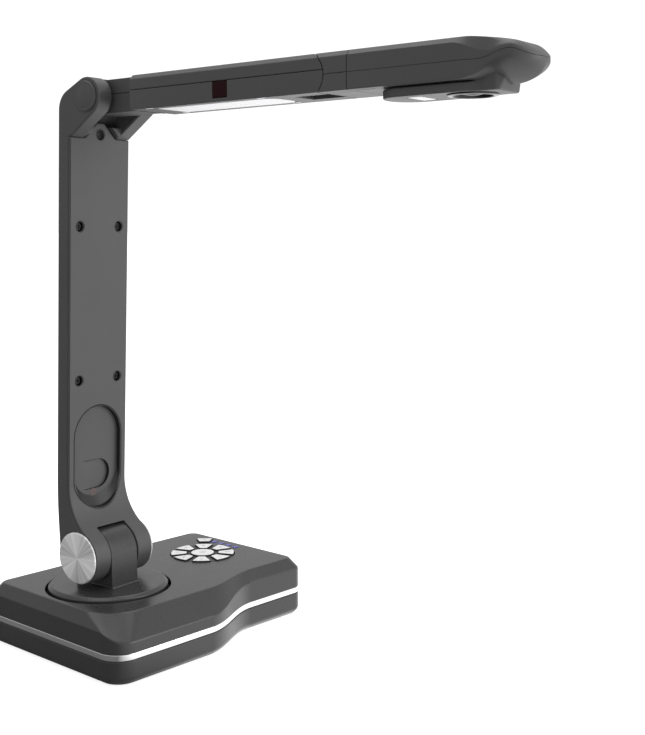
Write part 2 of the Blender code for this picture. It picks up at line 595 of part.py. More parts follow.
def diffuser_outline(grow):
    half, start, end = 14.0 + grow, 54.0 - grow, 150.0 + grow
    corner = 9.0
    tip = circle(half - corner, -end + corner, corner, 6, 0, -90)
    tip += [(-x, y) for x, y in reversed(tip)]
    return [(half, -start)] + tip + [(-half, -start)]


# ---------------------------------------------------------------- tilt block and head

def tilt_block(tilt):
    look = material("arm_plastic", PLASTIC, 0.42)
    shift = -TILT_Z
    section = [(x, z + shift) for x, z in beam_section(-0.1)]
    body = prism("tilt_block", section, -BLOCK_REAR, -BLOCK_FRONT, "y", tilt, look)
    lug = circle(0, 0, 6.6, 11, -90, 180)
    lug = [(-BLOCK_REAR - 2, -6.6)] + lug + [(-BLOCK_REAR - 2, 6.6)]
    combine(body, prism("lug", lug, -LUG_HALF, LUG_HALF, "x", tilt), "UNION")
    combine(body, prism("lug_bore", circle(0, 0, 2.8, 16), -20, 20, "x", tilt))
    combine(body, prism("spindle_socket", circle(0, -TILT_Z, 5.8, 20), -40, -22, "y", tilt))
    steel = material("pin_steel", (0.55, 0.55, 0.56), 0.3, 1.0)
    turned("tilt_pin", [(0, -17.6), (2.5, -17.6), (2.5, 17.6), (0, 17.6)], (0, 0, 0), "x", tilt, steel, 16)
    turned("roll_spindle", [(0, -22.6), (5.5, -22.6), (5.5, -36.5), (0, -36.5)], (0, 0, -TILT_Z), "y", tilt,
           steel, 20)


def head_half_width(reach):
    """Half the head's width: straight, then drawn in to a waist, then out again to a round nose."""
    waist = BEAM_HALF - WAIST_DEPTH * smooth_step((reach - HEAD_TAPER) / 14.0)
    swell = (NOSE_HALF - BEAM_HALF + WAIST_DEPTH) * smooth_step((reach - HEAD_TAPER - 15.0) / 9.0)
    width = waist + swell
    past = (reach - NOSE_REACH) / NOSE_AHEAD
    if past > 0:
        width = min(width, NOSE_HALF * math.sqrt(max(1 - past ** 2, 0.0)))
    return width


def head_heights(reach):
    """(underside, side top, crown) of the head along its length, level with the beam at the rear."""
    nose = smooth_step((reach - HEAD_TAPER) / 20.0)
    low = BEAM_LOW - 2.6 * nose
    brow = BEAM_SIDE_TOP + 0.8 * nose
    crown = BEAM_TOP - 1.6 * nose
    past = max((reach - NOSE_REACH) / NOSE_AHEAD, 0.0)
    round_off = math.sqrt(max(1 - past ** 2, 0.0))
    low = -1.0 + (low + 1.0) * round_off ** 0.8
    crown = -1.0 + (crown + 1.0) * round_off ** 0.8
    brow = min(brow, crown - 0.4 * round_off)
    return low, brow, crown


def head_ring(reach, shrink=0.0):
    half = max(head_half_width(reach) - shrink, 1.0)
    low, brow, crown = head_heights(reach)
    low, brow, crown = low + shrink, brow - shrink / 2, crown - shrink
    crown, low = max(crown, -0.6), min(low, -1.4)
    brow = max(min(brow, crown - 0.2), -0.8)
    soft = smooth_step((reach - HEAD_TAPER) / 20.0)
    keel = half * (1.0 - 0.45 * soft)
    chine = low + (-1.0 - low) * 0.5 * soft
    top = half * (BEAM_TOP_HALF / BEAM_HALF) * (1 - 0.1 * soft)
    shift = -TILT_Z
    half_points = [(keel, low), (half, chine), (half, brow), (top, crown)]
    ring = half_points + [(-x, z) for x, z in reversed(half_points)]
    return [(x, -reach, z + shift) for x, z in ring]


def head(roll):
    look = material("arm_plastic", PLASTIC, 0.42)
    inner = [HEAD_REAR + HEAD_WALL] + [r for r in HEAD_STATIONS if r < 139] + [140.0]
    halves = (("head_top_shell", below), ("head_bottom_shell", above))
    hollow = loft("head_hollow", [head_ring(r, HEAD_WALL) for r in inner], roll, None)
    seam = HEAD_SEAM - TILT_Z
    for name, cutter in halves:
        shell = loft(name, [head_ring(r) for r in (HEAD_REAR,) + HEAD_STATIONS], roll, look)
        side = GAP / 2 if cutter is below else -GAP / 2
        combine(shell, cutter(seam + side, name + "_split", roll))
        combine(shell, hollow)
        combine(shell, prism(name + "_bore", circle(0, -TILT_Z, 5.8, 20), -30, -40, "y", roll))
        if name == "head_bottom_shell":
            combine(shell, prism("sensor_opening", circle(0, -LENS_REACH, 9.6, 20), -20, -4, "z", roll))
    board = material("board", (0.02, 0.12, 0.06))
    board_low, board_high = (-13, -LENS_REACH - 12, BOARD_LOW), (13, -LENS_REACH + 16, BOARD_LOW + 1.4)
    block("camera_board", board_low, board_high, roll, board)


def pod_outline(grow=0.0):
    """Plan of the lens pod: round rear end, straight sides, drawn in to a neck and a curved front."""
    half, neck = POD_HALF + grow, POD_NECK_HALF + grow
    rear = circle(0, -POD_REAR - POD_HALF, half, 13, 0, 180)
    side = []
    for share in (0.0, 0.2, 0.4, 0.6, 0.8, 1.0):
        x = half - (half - neck) * smooth_step(share)
        side.append((-x, -POD_WAIST - (POD_NECK - POD_WAIST) * share))
    corner = POD_FRONT - 7.0
    front = []
    for share in (1.0, 0.5):
        front.append((-neck * share, -corner - 7.0 * (1 - share ** 2) - grow))
    left = side + front
    return rear + left + [(0, -POD_FRONT - grow)] + [(-x, y) for x, y in reversed(left)]


def lens_pod(roll):
    look = material("pod_plastic", PLASTIC, 0.4)
    low, high = POD_LOW - TILT_Z, POD_TOP - GAP - TILT_Z
    pod = prism("lens_pod", pod_outline(), low, high, "z", roll, look)
    foot = -POD_FRONT + POD_SLANT
    slant = [(-POD_FRONT - 5, low - 1), (foot, low - 1), (-POD_FRONT, high + 5), (-POD_FRONT - 5, high + 5)]
    combine(pod, prism("pod_slant", slant, -40, 40, "x", roll))
    under_nose = [head_ring(r, -GAP) for r in HEAD_STATIONS if r >= HEAD_TAPER]
    combine(pod, loft("nose_seat", under_nose, roll, None))
    combine(pod, prism("lens_seat", circle(0, -LENS_REACH, LENS_SEAT_R, 32), low - 2, low + 3.2, "z", roll))
    bore = circle(0, -LENS_REACH, BARREL_R + GAP, 24)
    combine(pod, prism("barrel_bore", bore, low - 2, high + 2, "z", roll))
    x0, y0, x1, y1 = POD_WINDOW
    seat = block("window_seat", (x0 - GAP, y0 - GAP, low - 2), (x1 + GAP, y1 + GAP, low + 1.6), roll)
    combine(pod, seat)
    block("pod_light_window", (x0, y0, low - 0.1), (x1, y1, low + 1.3), roll,
          material("diffuser", (0.9, 0.9, 0.92), 0.35))

    centre = (0, -LENS_REACH, 0)
    lip, seat_r, hole_r = low - LENS_LIP, LENS_SEAT_R - GAP, GLASS_R + GAP
    ring = [(hole_r, low + 1.4), (hole_r + 1.4, lip), (LENS_R, lip), (LENS_R, low - GAP), (seat_r, low - GAP),
            (seat_r, low + 2.8), (hole_r, low + 2.8)]
    turned("lens_ring", ring, centre, "z", roll, material("lens_ring_metal", (0.4, 0.4, 0.42), 0.25, 1.0), 40)
    glass = [(0, low + 0.6), (GLASS_R, low + 1.6), (GLASS_R, low + 2.8), (0, low + 2.8)]
    look = material("lens_glass_dark", (0.01, 0.01, 0.015), 0.05)
    turned("lens_glass", glass, centre, "z", roll, look, 32)
    barrel = [(0, low + 3.2), (BARREL_R, low + 3.2), (BARREL_R, BOARD_LOW - 0.4), (0, BOARD_LOW - 0.4)]
    turned("lens_barrel", barrel, centre, "z", roll, material("barrel_black", (0.01, 0.01, 0.01), 0.6), 24)


# ---------------------------------------------------------------- assembly

def main():
    for found in list(bpy.data.objects):
        bpy.data.objects.remove(found)
    root = empty("base_frame", (SWIVEL_X, SWIVEL_Y, BASE_TOP))
    swivel = empty("swivel_axis", (0, 0, 0), turn_z=SWIVEL_REST, parent=root)
    hinge = empty("lower_hinge_axis", (0, HINGE_Y, HINGE_Z), turn_x=LEAN, parent=swivel)
    pivot = empty("upper_hinge_axis", (0, PIVOT_Y, PIVOT_Z), turn_x=-LEAN - RISE, parent=hinge)
    tilt = empty("tilt_axis", (0, -TILT_REACH, TILT_Z), parent=pivot)
    roll = empty("roll_axis", (0, 0, 0), parent=tilt)
    base_covers(root)
    base_inside(root)
    keys(root)
    turntable(swivel)
    lower_arm_shells(hinge)
    recess_tray(hinge)
    arm_screws(hinge)
    hinge_hardware(hinge)
    upper_arm(pivot)
    tilt_block(tilt)
    head(roll)
    lens_pod(roll)


main()
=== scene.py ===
import json
import math

import bmesh
import bpy
from mathutils import Matrix, Vector


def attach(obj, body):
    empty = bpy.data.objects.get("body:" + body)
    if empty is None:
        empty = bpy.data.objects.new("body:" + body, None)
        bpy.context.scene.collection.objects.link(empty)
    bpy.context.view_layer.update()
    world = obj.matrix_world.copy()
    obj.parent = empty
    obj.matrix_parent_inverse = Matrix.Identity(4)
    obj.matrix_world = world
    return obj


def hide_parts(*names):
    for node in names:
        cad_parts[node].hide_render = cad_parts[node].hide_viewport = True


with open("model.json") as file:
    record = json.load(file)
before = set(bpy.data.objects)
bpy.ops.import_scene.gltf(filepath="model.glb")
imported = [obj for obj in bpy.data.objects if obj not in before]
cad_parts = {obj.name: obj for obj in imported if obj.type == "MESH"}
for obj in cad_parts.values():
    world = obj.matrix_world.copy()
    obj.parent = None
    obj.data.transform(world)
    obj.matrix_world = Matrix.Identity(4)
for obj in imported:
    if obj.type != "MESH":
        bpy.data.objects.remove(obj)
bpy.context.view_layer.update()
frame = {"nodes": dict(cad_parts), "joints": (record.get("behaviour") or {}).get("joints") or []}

# Lengths are in millimetres in the local frames below; MM turns them into metres.
MM = 0.001
GAP = 0.25

# Camera: its place from the swivel axis on the base's top face, and its viewing direction
CAMERA_AT = (-534.0, -685.7, 261.0)
CAMERA_AZIMUTH, CAMERA_ELEVATION = -48.22, 6.81
LENS_MM = 59.28

# Base
# A plan is (left, wide front, narrow front, right, back), its corner radii,
# and where its front's step starts and ends.
SKIRT = (-54.0, -75.3, -55.1, 147.9, 72.0)
DECK = (-48.8, -61.5, -49.2, 142.5, 66.3)
SKIRT_RADII = (17.0, 8.0, 8.0, 8.0)
DECK_RADII = (30.0, 7.0, 7.0, 8.0)
SKIRT_STEP = (32.0, 92.0)
DECK_STEP = (43.0, 97.0)
CHAMFER_LOW, CHAMFER_LOW_WIDE = -8.0, -15.5
STRIP_TOP, STRIP_BOTTOM = -23.1, -27.6
BASE_LOW, FOOT_CHAMFER, FOOT_LOW = -45.0, 4.3, -45.5
WALL, DECK_RIM, FLOOR_RIM, EDGE = 2.4, 6.0, 12.0, 1.2
STRIP_RECESS, STRIP_ROUND, STRIP_EASE = 0.35, 0.5, 0.12
PANEL_X, PANEL_TOP = (8.0, 86.0), -9.0
# A socket is (x, width, depth, height), and the CAD node that it stands for.
PORT_Z, PORT_SLACK, PORT_SUNK, PORT_FLOOR, PORT_WALL = -16.0, 0.3, 0.4, 2.0, 0.7
PORTS = {"hdmi": ((20.0, 15.0, 10.0, 5.6), "hdmi_port"), "usb": ((48.0, 12.0, 12.0, 10.4), "usb_port"),
         "power": ((76.0, 9.0, 12.0, 9.6), "power_jack")}
FEET = {"front_left": (-30, -52), "front_right": (122, -34), "back_right": (124, 50), "back_left": (-32, 50)}
FOOT_R = 7.0
WELL_R, WELL_LOW, TURNTABLE_R, TURNTABLE_TOP, TURNTABLE_LOW = 45.2, -9.0, 43.0, 3.0, -5.2
TURNTABLE_BEVEL, TONGUE_OUT, TONGUE_CROWN, TONGUE_FLARE = (2.4, 2.0), 0.3, 0.9, 1.1

# Lower arm
LEAN, RISE = 2.5, 0.6
HINGE_Y, HINGE_Z = 1.3, 25.6
LOBE_R, LOBE_IN, ARM_HALF, THROAT_R, TONGUE_HALF = 19.2, 13.2, 27.0, 20.3, 12.6
COLUMN_FRONT, COLUMN_BACK, FILLET_R, FILLET_Z = 9.7, 22.7, 38.5, 50.0
FORK_Z, PEAK_Z, PIVOT_Y, PIVOT_Z = 293.5, 304.0, -4.5, 319.9
EAR_R, EAR_IN, COVER_T = 12.8, 15.0, 2.3
RECESS_HALF, RECESS_LOW, RECESS_HIGH, RECESS_FLOOR = 22.7, 30.5, 105.5, 13.4
SCREW_HOLE_R, COVER_SLACK, PEAK_SLACK = 3.5, 0.15, 0.6
SENSOR_X, SENSOR_Z, SENSOR_HALF, SENSOR_HIGH = -0.8, 41.0, 3.4, 3.0
SCOOP_START, SCOOP_X, SCOOP_Z, SCOOP_R, SCOOP_RISE = -12.5, 3.7, 54.3, 10.5, 2.3
SCREWS = ((0.0, 296.2), (-18.1, 232.7), (18.1, 232.7), (-18.1, 124.6), (18.1, 124.6))

# Upper arm
BEAM_HALF, BEAM_TOP_HALF, BEAM_LOW, BEAM_SIDE_TOP, BEAM_TOP, BEAM_SEAM = 21.0, 17.7, -10.9, 8.7, 11.8, 1.8
BEAM_START, TILT_REACH, TILT_Z, BEAM_END_R = 35.0, 179.2, -0.7, 13.4
STEM_HALF, STEM_R, LUG_HALF, LUG_R = 12.0, 12.4, 8.6, 6.6
DIFFUSER_HALF, DIFFUSER_START, DIFFUSER_END, DIFFUSER_R = 14.0, 54.0, 150.0, 9.0
LIGHT_PIPS = ((-17.4, 50.0), (-17.4, 144.0), (17.4, 50.0), (17.4, 144.0))
SEAM_HALF = 0.13

# Head, along -y from the tilt axis
BLOCK_REAR, BLOCK_FRONT, HEAD_REAR = 15.3, 30.1, 30.7
HEAD_TAPER, NOSE_REACH, NOSE_HALF, HEAD_TIP = 104.0, 127.8, 19.5, 144.7
KEEL_REACH, HEAD_SEAM_HALF = 122.0, 0.12
LENS_REACH, LENS_R, GLASS_R = 101.0, 14.5, 10.0
VENTS, POD_WINDOW = (36.0, 43.0), (-9.0, -72.5, 9.0, -63.5)
POD_REAR, POD_FRONT, POD_HALF, POD_LOW, POD_TOP = 44.8, 128.5, 17.0, -16.9, -11.3
POD_WAIST, POD_NECK, POD_NECK_HALF, POD_SLANT = 100.0, 113.0, 13.0, 5.5

# Keypad
KEYPAD_X, KEYPAD_Y = 102.1, 10.5
KEY_LOW, KEY_TOP = -4.4, 1.2
KEY_IN, KEY_OUT, KEY_ROUND, CENTRE_KEY_R, BEZEL_R = 12.6, 25.2, 0.9, 9.4, 26.0
KEY_HALF_IN, KEY_HALF_OUT = 13.5, 17.0
RING_KEYS = 8
# Corners of the key outside the ring, along and across its diagonal
POWER_KEY = ((33.0, 4.4), (33.0, -4.4), (43.0, -6.7), (43.0, 6.7))
FACE_INSET, ICON_SCALE = 0.45, 0.72
INDICATOR_X, INDICATOR_Y = 132.8, (5.0, 13.2, 21.4, 29.6)
INDICATOR_HALF, PIP_R = (2.6, 1.9), 1.15

joint = {j["name"]: j for j in frame["joints"]}


def turn(axis, degrees):
    return Matrix.Rotation(math.radians(degrees), 4, axis)


def at(joint_name):
    return Matrix.Translation(joint[joint_name]["pos_m"])


hinge_line = joint["lower_arm_hinge"]["axis"]
SWUNG = math.degrees(math.atan2(hinge_line[1], hinge_line[0]))
BASE = at("swivel")
SWIVEL = BASE @ turn("Z", SWUNG)
HINGE = at("lower_arm_hinge") @ turn("Z", SWUNG) @ turn("X", LEAN)
PIVOT = at("upper_arm_hinge") @ turn("Z", SWUNG) @ turn("X", -RISE)
TILT = at("head_tilt") @ turn("Z", SWUNG) @ turn("X", -RISE)


# ---------------------------------------------------------------- materials

class Tree:
    """A short way to write a node tree."""

    def __init__(self, holder):
        holder.use_nodes = True
        self.tree = holder.node_tree

    def set(self, node, socket, value):
        node.inputs[socket].default_value = value

    def add(self, kind, links=None, **values):
        node = self.tree.nodes.new(kind)
        for name, value in values.items():
            setattr(node, name, value)
        return self.wire(node, links or {})

    def wire(self, node, links):
        """Gives each input its value, or a link when the value is another node's output."""
        for socket, source in links.items():
            if hasattr(source, "links"):
                self.tree.links.new(source, node.inputs[socket])
            else:
                node.inputs[socket].default_value = source
        return node

    def math(self, operation, *values):
        return self.add("ShaderNodeMath", dict(enumerate(values)), operation=operation).outputs[0]

    def along(self, source, direction):
        made = self.add("ShaderNodeVectorMath", {0: source, 1: direction}, operation="DOT_PRODUCT")
        return made.outputs["Value"]

    def span(self, source, low, high, start=0.0, end=1.0):
        made = self.add("ShaderNodeMapRange", {"Value": source, "From Min": start, "From Max": end,
                                               "To Min": low, "To Max": high})
        return made.outputs[0]

    def either(self, share, first, second):
        return self.add("ShaderNodeMix", {0: share, 2: first, 3: second}, data_type="FLOAT").outputs[0]


class Nodes(Tree):
    """A material with a Principled shader."""

    def __init__(self, name, colour, roughness, metallic=0.0):
        self.material = bpy.data.materials.new(name)
        super().__init__(self.material)
        self.shader = self.tree.nodes["Principled BSDF"]
        self.set(self.shader, "Base Color", (*colour, 1.0))
        self.set(self.shader, "Roughness", roughness)
        self.set(self.shader, "Metallic", metallic)
        self.place = self.tree.nodes.new("ShaderNodeTexCoord").outputs["Object"]

    def noise(self, scale, detail=3.0, stretch=(1, 1, 1)):
        mapped = self.add("ShaderNodeMapping", {"Vector": self.place, "Scale": stretch})
        made = self.add("ShaderNodeTexNoise", {"Vector": mapped.outputs[0], "Scale": scale, "Detail": detail})
        return made.outputs[0]

    def mix(self, share, first, second):
        first, second = (c if hasattr(c, "links") else (*c, 1.0) for c in (first, second))
        return self.add("ShaderNodeMix", {0: share, 6: first, 7: second}, data_type="RGBA").outputs[2]

    def link(self, source, socket):
        self.tree.links.new(source, self.shader.inputs[socket])

    def bump(self, height, strength, distance):
        made = self.add("ShaderNodeBump", {"Height": height, "Strength": strength, "Distance": distance})
        self.link(made.outputs[0], "Normal")


def moulded_plastic(name, colour, roughness, grain=0.18):
    """Moulded plastic: spark-eroded grain, slow shifts in shade and faint handling marks in the gloss."""
    made = Nodes(name, colour, roughness)
    lighter = tuple(min(c * 1.16 + 0.002, 1.0) for c in colour)
    darker = tuple(c * 0.88 for c in colour)
    made.link(made.mix(made.noise(14.0, 4.0), darker, lighter), "Base Color")
    marks = made.noise(55.0, 5.0, (1.0, 1.0, 0.35))
    made.link(made.span(marks, roughness * 0.94, roughness * 1.08, 0.3, 0.7), "Roughness")
    made.bump(made.noise(2600.0, 2.0), grain, 0.00004)
    return made.material


def mirror_metal(name, colour, roughness):
    made = Nodes(name, colour, roughness, 1.0)
    marks = made.noise(90.0, 4.0, (0.3, 0.3, 4.0))
    made.link(made.span(marks, roughness * 0.8, roughness * 1.3, 0.3, 0.7), "Roughness")
    made.bump(made.noise(900.0, 2.0, (0.2, 0.2, 3.0)), 0.05, 0.00002)
    return made.material


def spun_metal(name, colour):
    """Aluminium turned on a lathe about its x axis: fine rings, and a painted reflection in its colour: light and
    dark sectors, and streaks fanned out along the radii.
    """
    made = Nodes(name, colour, 0.34, 0.28)
    split = made.add("ShaderNodeSeparateXYZ", {"Vector": made.place})
    angle = made.math("ARCTAN2", split.outputs[1], split.outputs[2])
    # Painted reflection: light and dark sectors round the axis, and fine streaks along the radii, in the base
    # colour
    painted_sector_wave = made.math("SINE", made.math("ADD", made.math("MULTIPLY", angle, 3.0), 0.9))
    painted_streak_angle = made.add("ShaderNodeCombineXYZ", {"X": angle})
    fine = made.add("ShaderNodeTexNoise", {"Vector": painted_streak_angle.outputs[0], "Scale": 5.0, "Detail": 6.0})
    both = made.math("MULTIPLY_ADD", painted_sector_wave, 0.12, fine.outputs[0])
    # The painted reflection runs between this darker and this lighter copy of the colour
    dark, light = tuple(c * 0.62 for c in colour), tuple(min(c * 1.25, 1.0) for c in colour)
    made.link(made.mix(made.span(both, 0.0, 1.0, 0.33, 0.68), dark, light), "Base Color")
    flat = made.add("ShaderNodeCombineXYZ", {"Y": split.outputs[1], "Z": split.outputs[2]})
    radius = made.add("ShaderNodeVectorMath", {0: flat.outputs[0]}, operation="LENGTH")
    made.bump(made.math("SINE", made.math("MULTIPLY", radius.outputs["Value"], 9000.0)), 0.12, 0.00002)
    made.set(made.shader, "Anisotropic", 0.75)
    around = made.add("ShaderNodeTangent", direction_type="RADIAL", axis="X")
    made.link(around.outputs[0], "Tangent")
    return made.material


def frosted(name, colour, glow=0.0):
    """Light diffuser: milky plastic with a fine prism grain."""
    made = Nodes(name, colour, 0.4)
    made.link(made.mix(made.noise(40.0, 3.0), tuple(c * 0.95 for c in colour), colour), "Base Color")
    made.bump(made.noise(1800.0, 2.0), 0.2, 0.00005)
    made.set(made.shader, "Emission Color", (*colour, 1.0))
    made.set(made.shader, "Emission Strength", glow)
    return made.material


def clear_dark(name, colour, roughness=0.06, coat=0.6, specular=0.5):
    """Glossy filter or lens glass, with faint smears in its polish."""
    made = Nodes(name, colour, roughness)
    made.set(made.shader, "Specular IOR Level", specular)
    made.link(made.mix(made.noise(60.0, 3.0), colour, tuple(c * 1.5 for c in colour)), "Base Color")
    made.link(made.span(made.noise(120.0, 4.0), roughness * 0.8, roughness * 1.5, 0.3, 0.7), "Roughness")
    made.set(made.shader, "Coat Weight", coat)
    made.set(made.shader, "Coat Roughness", 0.03)
    return made.material


def board_green(name, colour):
    made = Nodes(name, colour, 0.4)
    lighter, mortar = (*(c * 1.25 for c in colour), 1.0), (*(c * 2.2 + 0.01 for c in colour), 1.0)
    traces = made.add("ShaderNodeTexBrick", {"Vector": made.place, "Scale": 90.0, "Mortar Size": 0.03,
                                             "Color1": (*colour, 1.0), "Color2": lighter, "Mortar": mortar})
    made.link(traces.outputs[0], "Base Color")
    made.bump(traces.outputs[1], 0.2, 0.00005)
    return made.material


ARM = moulded_plastic("arm_charcoal", (0.062, 0.062, 0.062), 0.46)
SHELL = moulded_plastic("base_charcoal", (0.036, 0.035, 0.036), 0.27, 0.1)
BLACK = moulded_plastic("black_plastic_fine", (0.010, 0.010, 0.011), 0.4)
SCREW = moulded_plastic("screw_blacked", (0.006, 0.006, 0.006), 0.6, 0.1)
WHITE = moulded_plastic("key_white", (0.80, 0.80, 0.81), 0.30, 0.1)
GREY_INK = moulded_plastic("key_ink", (0.33, 0.34, 0.36), 0.5, 0.05)
RUBBER = moulded_plastic("foot_rubber_fine", (0.018, 0.018, 0.018), 0.85, 0.5)
CHROME = mirror_metal("strip_chrome", (0.86, 0.86, 0.87), 0.09)
STEEL = mirror_metal("turned_steel", (0.55, 0.55, 0.56), 0.3)
RING = mirror_metal("lens_ring_polished", (0.035, 0.035, 0.037), 0.25)
SPUN = spun_metal("spun_aluminium_painted_streaks", (0.92, 0.92, 0.93))
DIFFUSER = frosted("diffuser_frosted", (0.90, 0.90, 0.92), 0.25)
IR = clear_dark("ir_filter_red", (0.012, 0.0006, 0.0016), 0.12, 0.0, 0.10)
SENSOR_RED = clear_dark("sensor_smoked_red", (0.060, 0.035, 0.034), 0.3, 0.2)
GLASS = clear_dark("lens_glass_dark", (0.002, 0.002, 0.003), 0.05, 0.0, 0.03)
INDICATOR = clear_dark("indicator_blue", (0.035, 0.035, 0.30), 0.25, 0.3)


# ---------------------------------------------------------------- mesh helpers

def piece(name, points, faces, matrix, look, sharp=35):
    mesh = bpy.data.meshes.new(name)
    mesh.from_pydata([tuple(c * MM for c in p) for p in points], [], faces)
    shape = bmesh.new()
    shape.from_mesh(mesh)
    bmesh.ops.recalc_face_normals(shape, faces=shape.faces)
    if shape.calc_volume(signed=True) < 0:
        bmesh.ops.reverse_faces(shape, faces=shape.faces)
    shape.to_mesh(mesh)
    shape.free()
    mesh.shade_smooth()
    mesh.set_sharp_from_angle(angle=math.radians(sharp))
    made = bpy.data.objects.new(name, mesh)
    bpy.context.scene.collection.objects.link(made)
    made.matrix_world = matrix
    if look:
        mesh.materials.append(look)
    return made


def loft(name, rings, matrix, look=None, closed=False, sharp=35):
    """Skins rings of equal length. The two ends are capped, or joined to each other if closed."""
    count = len(rings[0])
    points = [p for ring in rings for p in ring]
    faces = [] if closed else [tuple(range(count)), tuple((len(rings) - 1) * count + i for i in range(count))]
    pairs = list(zip(range(len(rings)), range(1, len(rings))))
    if closed:
        pairs.append((len(rings) - 1, 0))
    for a, b in pairs:
        for i in range(count):
            j = (i + 1) % count
            faces.append((a * count + i, a * count + j, b * count + j, b * count + i))
    return piece(name, points, faces, matrix, look, sharp)


PLACES = {
    "x": lambda u, v, d: (d, u, v),
    "y": lambda u, v, d: (u, d, v),
    "z": lambda u, v, d: (u, v, d),
}


def rect(x0, y0, x1, y1):
    return [(x0, y0), (x1, y0), (x1, y1), (x0, y1)]


def mirrored(right):
    """Points on the right, followed by their mirror images back along the left."""
    return right + [(-u, v) for u, v in reversed(right)]


def area(outline):
    return sum(a[0] * b[1] - b[0] * a[1] for a, b in zip(outline, outline[1:] + outline[:1])) / 2


def inset(outline, by):
    """The outline moved inwards by a distance, with mitred corners."""
    if by == 0:
        return list(outline)
    inward = 1 if area(outline) > 0 else -1
    made = []
    for i, (x, y) in enumerate(outline):
        before, after = outline[i - 1], outline[(i + 1) % len(outline)]
        a = Vector((x - before[0], y - before[1])).normalized()
        b = Vector((after[0] - x, after[1] - y)).normalized()
        a, b = Vector((-a.y, a.x)) * inward, Vector((-b.y, b.x)) * inward
        push = (a + b) / max(1 + a.dot(b), 0.2)
        made.append((x + push.x * by, y + push.y * by))
    return made


def prism(name, outline, low, high, axis, matrix, look=None, round_low=0.0, round_high=0.0, steps=3):
    """A flat outline pushed along an axis, with its rims rounded by round_low and round_high."""
    place = PLACES[axis]
    levels = []
    for end, radius, side in ((low, round_low, 1), (high, round_high, -1)):
        turns = [math.radians(90 * k / steps) for k in range(steps + 1)] if radius else [math.pi / 2]
        part = [(radius * (1 - math.sin(t)), end + side * radius * (1 - math.cos(t))) for t in turns]
        levels += part if side == 1 else part[::-1]
    rings = [[place(u, v, d) for u, v in inset(outline, by)] for by, d in levels]
    return loft(name, rings, matrix, look)


def block(name, low, high, matrix, look=None, soft=0.0):
    outline = rect(low[0], low[1], high[0], high[1])
    if soft:
        outline = rounded(outline, soft)
    return prism(name, outline, low[2], high[2], "z", matrix, look, soft, soft)


def turned(name, profile, centre, axis, matrix, look, steps=96, sharp=35):
    """Turns (radius, distance) points about an axis through centre. A radius of 0 closes an end."""
    place = {
        "x": lambda r, a, d: (d, r * math.cos(a), r * math.sin(a)),
        "y": lambda r, a, d: (r * math.cos(a), d, r * math.sin(a)),
        "z": lambda r, a, d: (r * math.cos(a), r * math.sin(a), d),
    }[axis]
    points, rows = [], []
    for radius, distance in profile:
        angles = [0.0] if radius == 0 else [math.tau * k / steps for k in range(steps)]
        rows.append([len(points) + k for k in range(len(angles))])
        for angle in angles:
            spot = place(radius, angle, distance)
            points.append(tuple(c + o for c, o in zip(spot, centre)))
    closed = profile[0][0] != 0
    faces = []
    for a, b in zip(rows, rows[1:] + rows[:1] if closed else rows[1:]):
        for k in range(steps):
            n = (k + 1) % steps
            faces.append(tuple(dict.fromkeys([a[k % len(a)], a[n % len(a)], b[n % len(b)], b[k % len(b)]])))
    return piece(name, points, faces, matrix, look, sharp)


def circle(x, y, radius, steps=48, start=0.0, sweep=360.0):
    last = steps if sweep == 360.0 else steps - 1
    angles = [math.radians(start + sweep * k / last) for k in range(steps)]
    return [(x + radius * math.cos(a), y + radius * math.sin(a)) for a in angles]


def stadium(half, low, high, steps=24):
    return circle(0, high - half, half, steps, 0, 180) + circle(0, low + half, half, steps, 180, 180)


def fillet(before, corner, after, reach, steps=5):
    """Points of a smooth curve that cuts the corner, starting and ending at reach from it. Any dimension."""
    before, corner, after = Vector(before), Vector(corner), Vector(after)
    first = corner + (before - corner).normalized() * min(reach, (before - corner).length * 0.49)
    last = corner + (after - corner).normalized() * min(reach, (after - corner).length * 0.49)
    made = []
    for k in range(steps + 1):
        t = k / steps
        made.append(tuple(first * (1 - t) ** 2 + corner * 2 * t * (1 - t) + last * t ** 2))
    return made


def rounded(outline, reach, steps=5):
    """The outline with every corner sharper than 25 degrees cut by a smooth curve."""
    made = []
    for i, corner in enumerate(outline):
        before, after = outline[i - 1], outline[(i + 1) % len(outline)]
        a = Vector(corner) - Vector(before)
        b = Vector(after) - Vector(corner)
        if a.angle(b) > math.radians(25):
            made += fillet(before, corner, after, reach, steps)
        else:
            made.append(tuple(corner))
    return made


def bake(made):
    """Makes the object's modifiers part of its mesh."""
    bpy.context.view_layer.update()
    graph = bpy.context.evaluated_depsgraph_get()
    mesh = bpy.data.meshes.new_from_object(made.evaluated_get(graph))
    made.modifiers.clear()
    made.data = mesh
    return made


def cut(made, *tools, operation="DIFFERENCE"):
    for tool in tools:
        modifier = made.modifiers.new(tool.name, "BOOLEAN")
        modifier.operation = operation
        modifier.object = tool
        modifier.solver = "EXACT"
    bake(made)
    for tool in tools:
        bpy.data.objects.remove(tool)
    return made


def soften(made, width, angle=38, segments=3):
    """Rounds every edge sharper than angle, and keeps flat faces flat to the eye."""
    bevel = made.modifiers.new("soften", "BEVEL")
    bevel.width = width * MM
    bevel.segments = segments
    bevel.limit_method = "ANGLE"
    bevel.angle_limit = math.radians(angle)
    bevel.use_clamp_overlap = False
    bevel.harden_normals = True
    bevel.miter_outer = "MITER_ARC"
    return bake(made)


def place_on(made, body, slot, *nodes):
    """Evens its shading, rides on a body, and stands for the CAD nodes. Its slot argument is not used."""
    weighted = made.modifiers.new("even_shading", "WEIGHTED_NORMAL")
    weighted.keep_sharp = True
    weighted.weight = 90
    bake(made)
    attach(made, body)
    if nodes:
        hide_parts(*nodes)
    return made


# ---------------------------------------------------------------- base

def smooth_step(t):
    t = min(max(t, 0.0), 1.0)
    return t * t * (3 - 2 * t)


